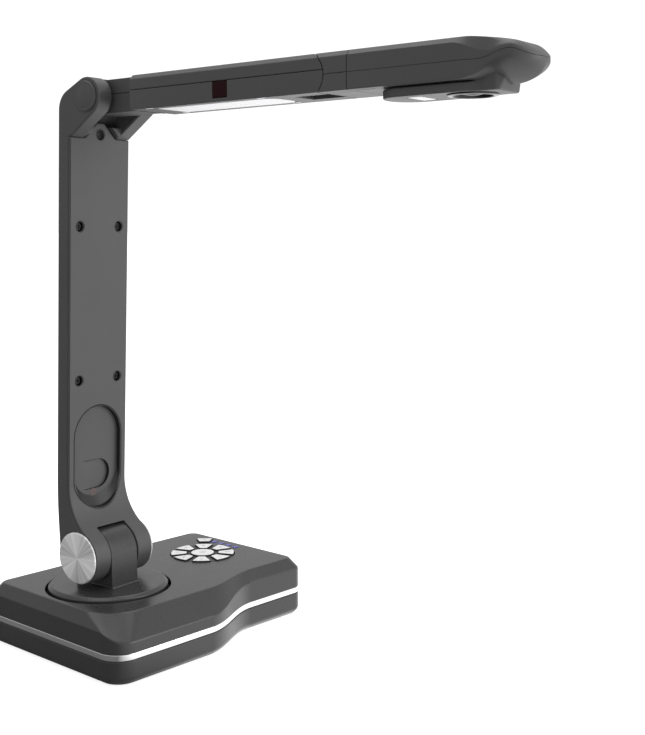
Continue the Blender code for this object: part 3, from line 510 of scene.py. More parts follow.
def base_outline(sides, radii, step, by=0.0):
    """Plan of the base, counted round from the left side: (x, y, share of the S-shaped step passed)."""
    left, wide, narrow, right, back = sides
    left, wide, narrow, right, back = left + by, wide + by, narrow + by, right - by, back - by
    fl, fr, br, bl = [max(r - by, 1.0) for r in radii]
    corner, steps = 24, 40
    points = [(x, y, smooth_step(1 - (k + 3) / 21)) for k, (x, y) in
              enumerate(circle(left + fl, wide + fl, fl, corner, 180, 90))]
    for k in range(1, steps):
        share = k / steps
        x = step[0] + (step[1] - step[0]) * share
        points.append((x, wide + (narrow - wide) * smooth_step(share), smooth_step(share)))
    points += [(x, y, 1.0) for x, y in circle(right - fr, narrow + fr, fr, corner, 270, 90)]
    points += [(x, y, 1.0) for x, y in circle(right - br, back - br, br, corner, 0, 90)]
    points += [(x, y, 1.0) for x, y in circle(left + bl, back - bl, bl, corner, 90, 90)]
    return points


def deck_ring(z, by=0.0):
    return [(x, y, z) for x, y, _ in base_outline(DECK, DECK_RADII, DECK_STEP, by)]


def skirt_ring(z, by=0.0):
    return [(x, y, z) for x, y, _ in base_outline(SKIRT, SKIRT_RADII, SKIRT_STEP, by)]


def brow_ring(by=0.0, drop=0.0):
    """Lower edge of the bevel round the deck, lower along the wide part of the front."""
    outline = base_outline(SKIRT, SKIRT_RADII, SKIRT_STEP, by)
    return [(x, y, CHAMFER_LOW_WIDE + (CHAMFER_LOW - CHAMFER_LOW_WIDE) * s - drop) for x, y, s in outline]


def eased(a, b, c, reach, steps=5):
    """Rings that round the corner at ring b between rings a and c."""
    columns = [fillet(p, q, r, reach, steps) for p, q, r in zip(a, b, c)]
    return [list(ring) for ring in zip(*columns)]


def base_shells():
    low = STRIP_TOP + GAP
    inner_deck, deck, brow = deck_ring(0, DECK_RIM), deck_ring(0), brow_ring()
    rim = skirt_ring(low)
    rings = [inner_deck] + eased(inner_deck, deck, brow, EDGE) + eased(deck, brow, rim, EDGE, 5)
    rings += eased(brow, rim, skirt_ring(low, WALL), 0.5, 3)
    rings += [skirt_ring(low, WALL), brow_ring(WALL, WALL / 2)]
    rings += [deck_ring(-WALL, WALL / 2), deck_ring(-WALL, DECK_RIM)]
    top = loft("base_top_shell", rings, BASE, SHELL, sharp=50)
    well = [(0, 1), (WELL_R + 1.4, 1), (WELL_R, -0.4), (WELL_R, WELL_LOW), (0, WELL_LOW)]
    tools = [turned("well_tool", well, (0, 0, 0), "z", BASE, None, 128)]
    for name, outline in key_outlines().items():
        tools.append(prism(name + "_tool", inset(outline, -0.5), WELL_LOW, 1, "z", BASE))
    for k, y in enumerate(INDICATOR_Y):
        tools.append(prism(f"pip_tool_{k}", circle(INDICATOR_X, y, PIP_R + GAP, 24), WELL_LOW, 1, "z", BASE))
    back, (left, right) = SKIRT[4], PANEL_X
    corner = (right + GAP, back + 2, PANEL_TOP + GAP)
    tools.append(block("notch_tool", (left - GAP, back - 6, low - 5), corner, BASE))
    place_on(cut(top, *tools), "base", "base_plastic", "base_top_cover")

    panel = block("rear_socket_panel", (left, back - WALL, low), (right, back, PANEL_TOP), BASE, SHELL, 0.4)
    tools = []
    for name, ((x, width, _, height), _) in PORTS.items():
        half, high = width / 2 + PORT_SLACK, height / 2 + PORT_SLACK
        hole = rounded(rect(x - half, PORT_Z - high, x + half, PORT_Z + high), 0.6)
        tools.append(prism(name + "_tool", hole, back - 6, back + 2, "y", BASE))
    place_on(cut(panel, *tools), "base", "base_plastic", "rear_panel")

    top, chamfer, floor = STRIP_BOTTOM - GAP, BASE_LOW + FOOT_CHAMFER, BASE_LOW + WALL
    rim, side, foot, under = skirt_ring(top), skirt_ring(chamfer), skirt_ring(BASE_LOW, FOOT_CHAMFER), \
        skirt_ring(BASE_LOW, FLOOR_RIM)
    rings = [skirt_ring(top, WALL)] + eased(skirt_ring(top, WALL), rim, side, 0.5, 3)
    rings += eased(rim, side, foot, 2.0) + eased(side, foot, under, 1.5) + [under]
    inside = [skirt_ring(floor, FLOOR_RIM), skirt_ring(floor, FOOT_CHAMFER + 1), skirt_ring(chamfer, WALL)]
    place_on(tray("base_bottom_shell", rings, inside, SHELL), "base", "base_plastic", "base_bottom_cover")

    low, high, sunk = STRIP_BOTTOM, STRIP_TOP, STRIP_RECESS
    face = [(low, STRIP_ROUND), (low + STRIP_EASE, STRIP_EASE), (low + STRIP_ROUND, 0.0)]
    face += [(low + high - z, by) for z, by in reversed(face)]
    rings = [skirt_ring(z, sunk + by) for z, by in face] + [skirt_ring(high, WALL), skirt_ring(low, WALL)]
    strip = loft("trim_strip_chrome", rings, BASE, CHROME, closed=True, sharp=60)
    place_on(strip, "base", "chrome_strip", "base_trim_strip")


def tray(name, outer, inner, look):
    """Rings down the outside to the underside and back up the inside, with the floor capped on both faces."""
    count, rings = len(outer[0]), outer + inner
    points = [p for ring in rings for p in ring]
    faces = []
    for a in range(len(rings)):
        if a != len(outer) - 1:
            b = (a + 1) % len(rings)
            for i in range(count):
                j = (i + 1) % count
                faces.append((a * count + i, a * count + j, b * count + j, b * count + i))
    for end in (len(outer) - 1, len(outer)):
        faces.append(tuple(end * count + i for i in range(count)))
    return piece(name, points, faces, BASE, look, 50)


def base_small_parts():
    back = SKIRT[4] - PORT_SUNK
    for name, ((x, width, depth, height), node) in PORTS.items():
        floor = back - depth + PORT_FLOOR
        rings = []
        for y, by, reach in (
                (back - depth, 0.3, 0.3), (back - depth + 0.3, 0.0, 0.5), (back - 0.2, 0.0, 0.5), (back, 0.2, 0.4),
                (back, 0.5, 0.3), (back - 0.2, PORT_WALL, 0.3), (floor, PORT_WALL, 0.3)):
            half, high = width / 2 - by, height / 2 - by
            corners = rect(x - half, PORT_Z - high, x + half, PORT_Z + high)
            rings.append([(px, y, pz) for px, pz in rounded(corners, reach)])
        place_on(loft(name + "_socket_shell", rings, BASE, STEEL), "base", "port_metal", node)
        if name == "power":
            profile = [(0, floor), (1.2, floor), (1.2, back - 2.0), (0.8, back - 1.4), (0, back - 1.2)]
            contact = turned("power_centre_pin", profile, (x, 0, PORT_Z), "y", BASE, STEEL, 32)
        else:
            half = width / 2 - 3.2
            contact = block(name + "_contact_tongue", (x - half, floor, PORT_Z - 0.9),
                            (x + half, back - 2.2, PORT_Z + 0.9), BASE, BLACK, 0.25)
        place_on(contact, "base", "port_metal")
    pad = [(0, BASE_LOW - 0.1), (FOOT_R, BASE_LOW - 0.1), (FOOT_R, FOOT_LOW + 0.25),
           (FOOT_R - 0.15, FOOT_LOW + 0.08), (6.3, FOOT_LOW),
           (5.2, FOOT_LOW), (4.8, FOOT_LOW + 0.2), (0, FOOT_LOW + 0.2)]
    for name, (x, y) in FEET.items():
        foot = turned("pad_" + name, pad, (x, y, 0), "z", BASE, RUBBER, 64)
        place_on(foot, "base", "foot_rubber", "foot_" + name)
    left, right = INDICATOR_X - 2, INDICATOR_X + 2
    guide = block("indicator_guide", (left, 2.0, -5.8), (right, 31.2, -3.4), BASE, INDICATOR, 0.3)
    pip = [(0, -4.5), (PIP_R, -4.5), (PIP_R, -0.15), (0.9, 0.08), (0, 0.15)]
    pips = [turned(f"pip_{k}", pip, (INDICATOR_X, y, 0), "z", BASE, INDICATOR, 24)
            for k, y in enumerate(INDICATOR_Y)]
    place_on(cut(guide, *pips, operation="UNION"), "base", "light_guide", "indicator_light_guide")
    half, high = INDICATOR_HALF
    for k, y in enumerate(INDICATOR_Y):
        bar = rounded(rect(INDICATOR_X - half, y - high, INDICATOR_X + half, y + high), 0.6)
        lit = prism(f"indicator_{k + 1}", bar, 0.02, 0.35, "z", BASE, INDICATOR, 0.0, 0.15)
        place_on(lit, "base", "light_guide")


# ---------------------------------------------------------------- keypad

def key_outlines():
    """Plan outline of each key."""
    half_in, half_out = math.radians(KEY_HALF_IN), math.radians(KEY_HALF_OUT)
    keys = {}
    for k in range(RING_KEYS):
        middle = math.tau * k / RING_KEYS
        corners = [(KEY_IN * math.cos(middle + s), KEY_IN * math.sin(middle + s)) for s in (half_in, -half_in)]
        arc = [middle - half_out + 2 * half_out * t / 8 for t in range(9)]
        outer = [(KEY_OUT * math.cos(a), KEY_OUT * math.sin(a)) for a in arc]
        keys[f"ring_key_{k + 1}"] = rounded(corners + outer, KEY_ROUND)
    keys["centre_key"] = circle(0, 0, CENTRE_KEY_R, 64)
    c = math.cos(math.radians(45))
    keys["power_key"] = rounded([(u * c - v * c, u * c + v * c) for u, v in POWER_KEY], KEY_ROUND)
    return {name: [(KEYPAD_X + x, KEYPAD_Y + y) for x, y in outline] for name, outline in keys.items()}


def icon_shapes(kind):
    """Flat outlines, about 5 mm across, of a plain symbol."""
    def bar(x, y, wide, high):
        return rect(x - wide / 2, y - high / 2, x + wide / 2, y + high / 2)

    def ring(radius, thick, start=0.0, sweep=360.0):
        outer, inner = (circle(0, 0, r, 25, start, sweep - 0.01) for r in (radius, radius - thick))
        return outer + inner[::-1]

    def ray(angle):
        c, s = math.cos(angle), math.sin(angle)
        return [(c * r - s * w, s * r + c * w) for r, w in ((1.8, -0.3), (2.6, -0.3), (2.6, 0.3), (1.8, 0.3))]

    return {
        "plus": [bar(0, 0, 4.6, 0.9), bar(0, 1.45, 0.9, 1.9), bar(0, -1.45, 0.9, 1.9)],
        "minus": [bar(0, 0, 4.6, 0.9)],
        "square": [bar(0, 1.9, 4.6, 0.7), bar(0, -1.9, 4.6, 0.7),
                   bar(-1.95, 0, 0.7, 3.0), bar(1.95, 0, 0.7, 3.0)],
        "left": [[(-2.3, 0), (1.4, -2.2), (1.4, 2.2)]],
        "right": [[(2.3, 0), (-1.4, 2.2), (-1.4, -2.2)]],
        "sun": [circle(0, 0, 1.2, 20)] + [ray(math.radians(60 * k)) for k in range(6)],
        "turn": [ring(2.2, 0.6, 60, 270), [(0.2, 2.8), (0.2, 1.0), (1.9, 1.9)]],
        "frame": [bar(-1.3, 1.6, 2.0, 0.6), bar(-2.0, 0.7, 0.6, 1.2),
                  bar(1.3, -1.6, 2.0, 0.6), bar(2.0, -0.7, 0.6, 1.2)],
        "dot": [ring(3.4, 0.6), circle(0, 0, 1.1, 24)],
        "power": [ring(2.1, 0.6, 120, 300), bar(0, 1.8, 0.6, 1.9)],
    }[kind]


ICONS = {"ring_key_1": "right", "ring_key_2": "sun", "ring_key_3": "plus", "ring_key_4": "turn",
         "ring_key_5": "left", "ring_key_6": "frame", "ring_key_7": "minus", "ring_key_8": "square",
         "centre_key": "dot", "power_key": "power"}


def keypad():
    disc = [(0, -0.5), (BEZEL_R - 0.1, -0.5), (BEZEL_R, -0.1), (BEZEL_R - 0.2, 0.12), (0, 0.12)]
    bezel = turned("keypad_bezel", disc, (KEYPAD_X, KEYPAD_Y, 0), "z", BASE, BLACK, 128)
    outlines = key_outlines()
    tools = [prism(name + "_bezel_tool", inset(outline, -0.3), WELL_LOW, 2, "z", BASE)
             for name, outline in outlines.items() if name != "power_key"]
    place_on(cut(bezel, *tools), "base", "base_plastic")
    for name, spot in outlines.items():
        body = prism(name + "_body", spot, KEY_LOW, KEY_TOP - 0.2, "z", BASE, BLACK, 0.0, 0.3)
        place_on(body, name, "key_plastic", name)
        top = inset(spot, FACE_INSET)
        face = prism(name + "_face", top, KEY_TOP - 0.3, KEY_TOP, "z", BASE, WHITE, 0.0, 0.12)
        place_on(face, name, "key_plastic")
        x, y = (sum(p[i] for p in spot) / len(spot) for i in (0, 1))
        for k, shape in enumerate(icon_shapes(ICONS[name])):
            at_key = [(x + v * ICON_SCALE, y - u * ICON_SCALE) for u, v in shape]
            mark = prism(f"{name}_icon_{k + 1}", at_key, KEY_TOP - 0.05, KEY_TOP + 0.03, "z", BASE, GREY_INK)
            place_on(mark, name, "key_plastic")


# ---------------------------------------------------------------- turntable

def turntable():
    top, radius, (across, down) = TURNTABLE_TOP, TURNTABLE_R, TURNTABLE_BEVEL
    corner, side, rim = (radius, TURNTABLE_LOW), (radius, top - down), (radius - across, top)
    profile = [(0, TURNTABLE_LOW), corner] + fillet(corner, side, rim, 0.5, 4)
    profile += fillet(side, rim, (0, top), 0.8, 5) + [(20, top), (0, top)]
    disc = turned("turntable_disc", profile, (0, 0, 0), "z", SWIVEL, SHELL, 160)
    reach, sunk = LOBE_R + TONGUE_OUT, top - 1
    crown_r = reach - TONGUE_CROWN
    outline = [(HINGE_Y + crown_r, sunk)] + circle(HINGE_Y, HINGE_Z, crown_r, 49, 0, 180)
    outline.append((HINGE_Y - crown_r, sunk))
    tongue = prism("hinge_tongue", outline, -TONGUE_HALF, TONGUE_HALF, "x", SWIVEL, SHELL, 0.7, 0.7)
    cut(tongue, prism("tongue_bore_tool", circle(HINGE_Y, HINGE_Z, 5.3), -20, 20, "x", SWIVEL))
    place_on(tongue, "turntable", "base_plastic")
    flare = []
    for k in range(7):
        t = math.radians(90 * k / 6)
        out, up = TONGUE_FLARE * (1 - math.sin(t)), TONGUE_FLARE * (1 - math.cos(t))
        box = rect(-TONGUE_HALF - out, HINGE_Y - reach - out, TONGUE_HALF + out, HINGE_Y + reach + out)
        flare.append([(x, y, top + up) for x, y in rounded(box, 1.2 + out)])
    flare.insert(0, [(x, y, sunk) for x, y, _ in flare[0]])
    place_on(loft("tongue_foot", flare, SWIVEL, SHELL), "turntable", "base_plastic")
    place_on(disc, "turntable", "base_plastic", "turntable")


# ---------------------------------------------------------------- lower arm

def front_curve(offset=0.0, steps=28):
    """The column's front from the fork step down the fillet and round the lobe, as (y, z) points."""
    centre, bend, lobe = COLUMN_FRONT - FILLET_R, FILLET_R + offset, LOBE_R - offset
    lean = math.atan2(FILLET_Z, -centre)
    points = [(COLUMN_FRONT + offset, FORK_Z)]
    for k in range(steps + 1):
        angle = -lean * k / steps
        points.append((centre + bend * math.cos(angle), FILLET_Z + bend * math.sin(angle)))
    for k in range(1, 2 * steps + 1):
        angle = math.pi - lean + (lean + math.radians(78)) * k / (2 * steps)
        points.append((lobe * math.cos(angle), lobe * math.sin(angle)))
    return points


def column_profile(front):
    """Side outline of the lower arm: lobe, back, rounded corner, ear, and the given front."""
    rise = Vector((-0.88, 0.47)).normalized()
    tip = (PIVOT_Y + rise.y * EAR_R, PIVOT_Z - rise.x * EAR_R)
    ear = circle(PIVOT_Y, PIVOT_Z, EAR_R, 48, math.degrees(math.atan2(-rise.x, rise.y)), 165)
    points = circle(0, 0, LOBE_R, 26, -78, 78)
    points += [(19.75, 6.0), (20.5, 14.0), (21.4, 24.0), (22.2, 35.0), (COLUMN_BACK, FILLET_Z)]
    corner = (COLUMN_BACK, tip[1] + (COLUMN_BACK - tip[0]) * rise.y / rise.x)
    points += fillet((COLUMN_BACK, FILLET_Z), corner, tip, 9.0, 14)
    return points + ear + front


def lower_arm():
    under, step = COVER_T + COVER_SLACK, PEAK_Z + PEAK_SLACK
    throat = circle(0, 0, THROAT_R, 49, 25, 155) + [(-THROAT_R, -30), (40, -30), (40, 8.6)]
    skin = front_curve(under)
    inner = [(COLUMN_FRONT, FORK_Z + COVER_SLACK), (skin[0][0], FORK_Z + COVER_SLACK)] + skin[1:]
    back = prism("lower_arm_shell", column_profile(inner), -ARM_HALF, ARM_HALF, "x", HINGE, ARM)
    seat = [(-15, FORK_Z), (-4.6, step), (4.6, step), (15, FORK_Z), (15, FORK_Z - 5), (-15, FORK_Z - 5)]
    notch = [(-40, FORK_Z + 2), (6, FORK_Z + 2), (6, FORK_Z + 8), (COLUMN_FRONT + 8, FORK_Z + 8)]
    notch += circle(PIVOT_Y, PIVOT_Z, 16.2, 33, -35, 100) + [(PIVOT_Y, 345), (-40, 345)]
    tools = [
        prism("peak_tool", seat, -20, COLUMN_FRONT + under, "y", HINGE),
        prism("hollow_tool", rect(0, 24.0, 20.2, 288.0), -24.4, 24.4, "x", HINGE),
        prism("throat_tool", throat, -LOBE_IN, LOBE_IN, "x", HINGE),
        prism("ear_tool", notch, -EAR_IN, EAR_IN, "x", HINGE),
    ]
    soften(cut(back, *tools), 1.0)
    place_on(back, "lower_arm", "arm_plastic", "lower_arm_back_shell")

    outline = front_curve() + front_curve(COVER_T)[::-1]
    cover = prism("lower_arm_cover", outline, -ARM_HALF, ARM_HALF, "x", HINGE, ARM)
    peak = mirrored([(-14, FORK_Z - 3), (-14, FORK_Z), (-3.6, PEAK_Z - 0.4), (-2, PEAK_Z)])
    cut(cover, prism("tab_tool", peak, COLUMN_FRONT, COLUMN_FRONT + COVER_T, "y", HINGE), operation="UNION")
    tools = [
        prism("low_tool", rect(-40, -40, 30, THROAT_R), -LOBE_IN, LOBE_IN, "x", HINGE),
        prism("recess_tool", stadium(RECESS_HALF, RECESS_LOW, RECESS_HIGH), -30, 20, "y", HINGE),
    ]
    face, deep = COLUMN_FRONT, COLUMN_FRONT + 6
    hole = [(0, face - 2), (SCREW_HOLE_R + 0.5, face - 2), (SCREW_HOLE_R + 0.5, face - 0.02),
            (SCREW_HOLE_R, face + 0.5), (SCREW_HOLE_R, deep), (0, deep)]
    for k, (x, z) in enumerate(SCREWS):
        tools.append(turned(f"screw_tool_{k}", hole, (x, 0, z), "y", HINGE, None, 40))
    soften(cut(cover, *tools), 0.7)
    place_on(cover, "lower_arm", "arm_plastic", "lower_arm_front_cover")


def recess():
    """The sunk oval panel with its finger scoop and window."""
    floor = RECESS_FLOOR
    outline = stadium(RECESS_HALF - 0.2, RECESS_LOW + 0.2, RECESS_HIGH - 0.2)
    panel = prism("recess_panel", outline, -20, floor + 3.4, "y", HINGE, ARM)
    bottom = stadium(RECESS_HALF - 2.1, RECESS_LOW + 8.0, RECESS_HIGH - 1.5)
    mouth = stadium(RECESS_HALF - 0.9, RECESS_LOW + 0.9, RECESS_HIGH - 0.9)
    levels = ((mouth, -30), (mouth, COLUMN_FRONT - 0.4),
              (inset(bottom, -0.6), floor - 0.5), (inset(bottom, 0.4), floor))
    rings = [[(x, y, z) for x, z in ring] for ring, y in levels]
    skin = front_curve(0.15)
    front = [(-60, FORK_Z)] + skin + [(skin[-1][0], -60), (-60, -60)]
    run = (SCOOP_START, -8.0, -4.0, 0.0)
    scoop = [(x, SCOOP_Z - SCOOP_R) for x in run] + circle(SCOOP_X, SCOOP_Z, SCOOP_R, 33, -90, 180)
    scoop += [(x, SCOOP_Z + SCOOP_R) for x in reversed(run)]
    ramp = [[(x, floor - 3, z) for x, z in scoop],
            [(x, floor + SCOOP_RISE * (x - SCOOP_START) / 26.0 - 0.05, z) for x, z in scoop]]
    tools = [loft("tray_tool", rings, HINGE), prism("front_tool", front, -30, 30, "x", HINGE),
             loft("scoop_tool", ramp, HINGE)]
    soften(cut(panel, *tools), 0.3, segments=2)
    # Painted shade: the tray's walls, every face not turned along y, take the black plastic as the shade inside
    # the recess
    panel.data.materials.append(BLACK)
    for face in panel.data.polygons:
        face.material_index = int(abs(face.normal.y) < 0.95)
    place_on(panel, "lower_arm", "arm_plastic", "recess_tray")
    oval = [(SENSOR_X + SENSOR_HALF * x, SENSOR_Z + SENSOR_HIGH * z) for x, z in circle(0, 0, 1.0)]
    window = prism("sensor_lens", oval, floor - 0.15, floor + 1.0, "y", HINGE, SENSOR_RED, 0.2)
    place_on(window, "lower_arm", "dark_filter", "sensor_window")


def arm_fixings():
    face = COLUMN_FRONT + 2.0
    head, base, end = 3.1, face + 1.5, face + 3.3
    profile = [(0, face), (1.6, face), (2.7, face + 0.35), (head, face + 0.9), (head, base),
               (1.2, base), (1.2, end), (0, end)]
    for k, (x, z) in enumerate(SCREWS):
        screw = turned(f"cross_screw_{k + 1}", profile, (x, 0, z), "y", HINGE, SCREW, 40)
        tools = [block("slot_tool", (x - across, face - 1, z - up), (x + across, face + 0.8, z + up), HINGE)
                 for across, up in ((1.5, 0.3), (0.3, 1.5))]
        place_on(cut(screw, *tools), "lower_arm", "screw_black", f"arm_screw_{k + 1}")
    out, disc_r, cap_r = ARM_HALF + 0.3, 18.5, 10.1
    disc_rim = [(0, out), (disc_r, out), (disc_r, out + 0.7), (18.3, out + 1.0), (17.9, out + 1.15),
                (17.2, out + 1.2), (0, out + 1.1)]
    cap_rim = [(0, out), (cap_r, out), (cap_r, out + 0.6), (9.7, out + 1.1), (9.0, out + 1.3),
               (8.2, out + 1.15), (7.6, out + 1.15), (6.8, out + 1.45), (0, out + 1.6)]
    for side, name in ((-1, "left"), (1, "right")):
        rim = [(r, side * d) for r, d in disc_rim]
        disc = turned("spun_disc_" + name, rim, (0, 0, 0), "x", HINGE, SPUN, 160)
        place_on(disc, "lower_arm", "spun_aluminium", "hinge_disc_" + name)
        rim = [(r, side * d) for r, d in cap_rim]
        cap = turned("hinge_cap_" + name, rim, (0, PIVOT_Y, PIVOT_Z), "x", HINGE, ARM, 96)
        place_on(cap, "lower_arm", "arm_plastic", "pivot_cap_" + name)


# ---------------------------------------------------------------- upper arm

def beam_section():
    low, side = (BEAM_HALF, BEAM_LOW), (BEAM_HALF, BEAM_SIDE_TOP)
    return [(-BEAM_HALF, BEAM_LOW)] + mirrored([low, side, (BEAM_TOP_HALF, BEAM_TOP)])[:-1]


def half_space(low, high):
    return block("split_tool", (-60, -400, low), (60, 60, high), PIVOT)


def beam(name):
    made = prism(name, beam_section(), -BEAM_START, -TILT_REACH - BEAM_END_R - 1, "y", PIVOT, ARM)
    end = [(-20, 30), (-TILT_REACH, 30)] + circle(-TILT_REACH, TILT_Z, BEAM_END_R, 49, 90, 180)
    end += [(-TILT_REACH, -30), (-20, -30)]
    cut(made, prism("end_tool", end, -60, 60, "x", PIVOT), operation="INTERSECT")
    joined = -BEAM_START - 4
    stem = circle(0, 0, STEM_R, 49, -58.7, 168.0) + [(joined, BEAM_TOP - 0.15), (joined, -10.6)]
    return cut(made, prism("stem_tool", stem, -STEM_HALF, STEM_HALF, "x", PIVOT), operation="UNION")


def diffuser_outline(grow=0.0):
    half, start, end = DIFFUSER_HALF + grow, DIFFUSER_START - grow, DIFFUSER_END + grow
    tip = circle(half - DIFFUSER_R, -end + DIFFUSER_R, DIFFUSER_R, 16, 0, -90)
    return mirrored([(half, -start)] + tip)


def upper_arm():
    half, low = 18.6, BEAM_LOW + 2.3
    cavity = [(-half, low)] + mirrored([(half, low), (half, 7.4), (16.2, 9.5)])[:-1]
    near, far = -TILT_REACH + 16, -TILT_REACH + 2.5
    slot = [(near, -30), (near, 8.6), (far, 8.6), (far, 30), (-260, 30), (-260, -30)]
    low, high, slack = (-BEAM_HALF + 0.1, -119.2, -8.5), (-18.9, -107.4, BEAM_SEAM - GAP), 0.15

    def shared():
        return [prism("beam_hollow_tool", cavity, -BEAM_START - 5, -162, "y", PIVOT),
                prism("lug_slot_tool", slot, -LUG_HALF - 0.5, LUG_HALF + 0.5, "x", PIVOT)]

    top = beam("upper_arm_upper_shell")
    cut(top, half_space(-80, BEAM_SEAM + SEAM_HALF), *shared())
    place_on(soften(top, 0.45), "upper_arm", "arm_plastic", "upper_arm_top_shell")
    bottom = beam("upper_arm_lower_shell")
    tools = [half_space(BEAM_SEAM - SEAM_HALF, 80), *shared()]
    tools.append(prism("diffuser_tool", diffuser_outline(0.25), BEAM_LOW - 1, BEAM_LOW + 3, "z", PIVOT))
    tools.append(block("ir_tool", (-30, low[1] - slack, low[2] - slack), (-18, high[1] + slack, 20), PIVOT))
    for x, reach in LIGHT_PIPS:
        dimple = stadium_y(x, -reach, 1.5, 4.0)
        tools.append(prism("dimple_tool", dimple, BEAM_LOW - 1, BEAM_LOW + 0.9, "z", PIVOT))
    place_on(soften(cut(bottom, *tools), 0.45), "upper_arm", "arm_plastic", "upper_arm_bottom_shell")
    for k, (x, reach) in enumerate(LIGHT_PIPS):
        pip = stadium_y(x, -reach, 1.3, 3.8)
        pad = prism(f"light_pip_{k + 1}", pip, BEAM_LOW + 0.1, BEAM_LOW + 0.85, "z", PIVOT, DIFFUSER, 0.25)
        place_on(pad, "upper_arm", "diffuser")
    plate = prism("diffuser_plate", diffuser_outline(), BEAM_LOW - 0.1, BEAM_LOW + 2.0, "z", PIVOT, DIFFUSER, 0.5)
    place_on(plate, "upper_arm", "diffuser", "light_diffuser")
    window = block("ir_filter_window", low, high, PIVOT, IR, 0.35)
    place_on(window, "upper_arm", "dark_filter", "ir_window")


def stadium_y(x, y, half, reach):
    """A slot outline of half width, whose round ends lie reach either side of (x, y) along y."""
    return circle(x, y + reach - half, half, 16, 0, 180) + circle(x, y - reach + half, half, 16, 180, 180)


# ---------------------------------------------------------------- tilt block and head

def tilt_block():
    shift, rear = -TILT_Z, -BLOCK_REAR - 2
    section = [(x * 0.995, z + shift) for x, z in beam_section()]
    body = prism("tilt_knuckle", section, -BLOCK_REAR + 9.5, -BLOCK_FRONT, "y", TILT, ARM)
    cut(body, prism("end_tool", circle(0, 0, BEAM_END_R + 0.5, 128), -30, 30, "x", TILT))
    lug = [(rear, -LUG_R)] + circle(0, 0, LUG_R, 33, -90, 180) + [(rear, LUG_R)]
    cut(body, prism("lug_tool", lug, -LUG_HALF, LUG_HALF, "x", TILT), operation="UNION")
    groove = prism("groove_tool", rect(-60, shift - 1.0, 60, shift - 0.7), -60, 10, "y", TILT)
    cut(groove, prism("core_tool", [(x * 0.97, z) for x, z in section], -70, 20, "y", TILT))
    tools = [groove, prism("bore_tool", circle(0, 0, 2.8, 32), -20, 20, "x", TILT)]
    place_on(soften(cut(body, *tools), 0.35), "tilt_block", "arm_plastic", "tilt_block")


def nose_share(reach):
    """How far the section has turned from the arm's shape, 0, to the nose's, 1."""
    return smooth_step((reach - HEAD_TAPER + 4.0) / 22.0)


def run_past(reach, start):
    """0 up to start, and from there evenly up to 1 at the tip of the head."""
    return max((reach - start) / (HEAD_TIP - start), 0.0)


def head_width(reach):
    """Half the head's width: straight, drawn in to a waist, and out again to the round nose."""
    waist = BEAM_HALF - 3.6 * smooth_step((reach - HEAD_TAPER) / 14.0)
    width = waist + 2.1 * smooth_step((reach - HEAD_TAPER - 15.0) / 9.0)
    past = run_past(reach, NOSE_REACH)
    return min(width, NOSE_HALF * math.sqrt(max(1 - past ** 2, 0.0))) if past else width


def seam_height(reach):
    return -0.9 + 4.4 * smooth_step((reach - 110.0) / 26.0) - 4.0 * smooth_step((reach - 132.0) / 12.7)


def to_middle(side, steps):
    """The outline carried on level from its last point to the middle."""
    x, z = side[-1]
    return side + [(x * (1 - k / steps), z) for k in range(1, steps + 1)]


def head_half(reach, up):
    """One side of the upper or lower shell's section, from the seam round to the middle."""
    share, half, seam = nose_share(reach), head_width(reach), seam_height(reach)
    closing = math.sqrt(max(1 - run_past(reach, NOSE_REACH) ** 2, 0.0))
    if up:
        far = run_past(reach, HEAD_TAPER)
        crown = seam + (BEAM_TOP - seam) * max(1 - far ** 2, 0.0) ** 0.8
        drop = smooth_step((reach - HEAD_TAPER + 6.0) / 26.0)
        wall = min(seam + (BEAM_SIDE_TOP - seam) * (1 - drop) + 2.4 * drop * closing, crown - 0.2)
        flat = min(BEAM_TOP_HALF * max(1 - far ** 3, 0.0) ** 0.6, half * 0.86)
        ease = 0.5 + 3.0 * smooth_step((reach - 116.0) / 16.0)
        side = fillet((half, seam), (half, wall), (flat, crown), ease * 0.5, 3)
        return to_middle(side + fillet((half, wall), (flat, crown), (0, crown), ease, 7), 3)
    crown = BEAM_LOW - 2.6 * share
    crown = seam + (crown - seam) * math.sqrt(max(1 - run_past(reach, KEEL_REACH) ** 3.2, 0.0)) ** 0.9
    wall = (BEAM_LOW - seam) * (1 - share) - 3.0 * share * closing
    side = to_middle(fillet((half, seam), (half, BEAM_LOW), (0, BEAM_LOW), 0.8, 7), 7)
    curve = []
    for k in range(len(side)):
        angle = math.radians(90 * k / (len(side) - 1))
        x = half * math.cos(angle) ** 1.8
        curve.append((x, seam + wall + (crown - seam - wall) * math.sin(angle) ** 1.05))
    return [(a[0] + (b[0] - a[0]) * share, a[1] + (b[1] - a[1]) * share) for a, b in zip(side, curve)]


def head_loop(reach, up):
    """The whole section of one shell, closed by a straight line just off the seam."""
    seam = seam_height(reach) + (HEAD_SEAM_HALF if up else -HEAD_SEAM_HALF)
    side = head_half(reach, up)
    half = max(head_width(reach), 0.4)
    right = [(half, seam)] + [(max(x, 0.02 * (len(side) - 1 - k)), z) for k, (x, z) in enumerate(side[:-1])]
    left = [(-x, z) for x, z in reversed(right)]
    return [(x, -reach, z - TILT_Z) for x, z in right + [(0.0, side[-1][1])] + left]


def head_shells():
    straight = [HEAD_REAR, HEAD_REAR + 0.3, 60.0, 85.0]
    swell = [HEAD_TAPER - 8 + k for k in range(36)]
    nose = [HEAD_TIP - 12.0 * (1 - math.sin(math.radians(90 * k / 16))) - 0.02 for k in range(17)]
    stations = straight + [r for r in swell if r < nose[0] - 0.3] + nose
    for name, up in (("upper", True), ("lower", False)):
        node = "head_top_shell" if up else "head_bottom_shell"
        shell = loft(f"head_{name}_shell", [head_loop(r, up) for r in stations], TILT, ARM, sharp=33)
        if not up:
            cut(shell, *(prism("vent_tool", stadium_y(-15.0, -reach, 0.6, 3.4), -20, -9.0, "z", TILT)
                         for reach in VENTS))
        place_on(shell, "head", "arm_plastic", node)


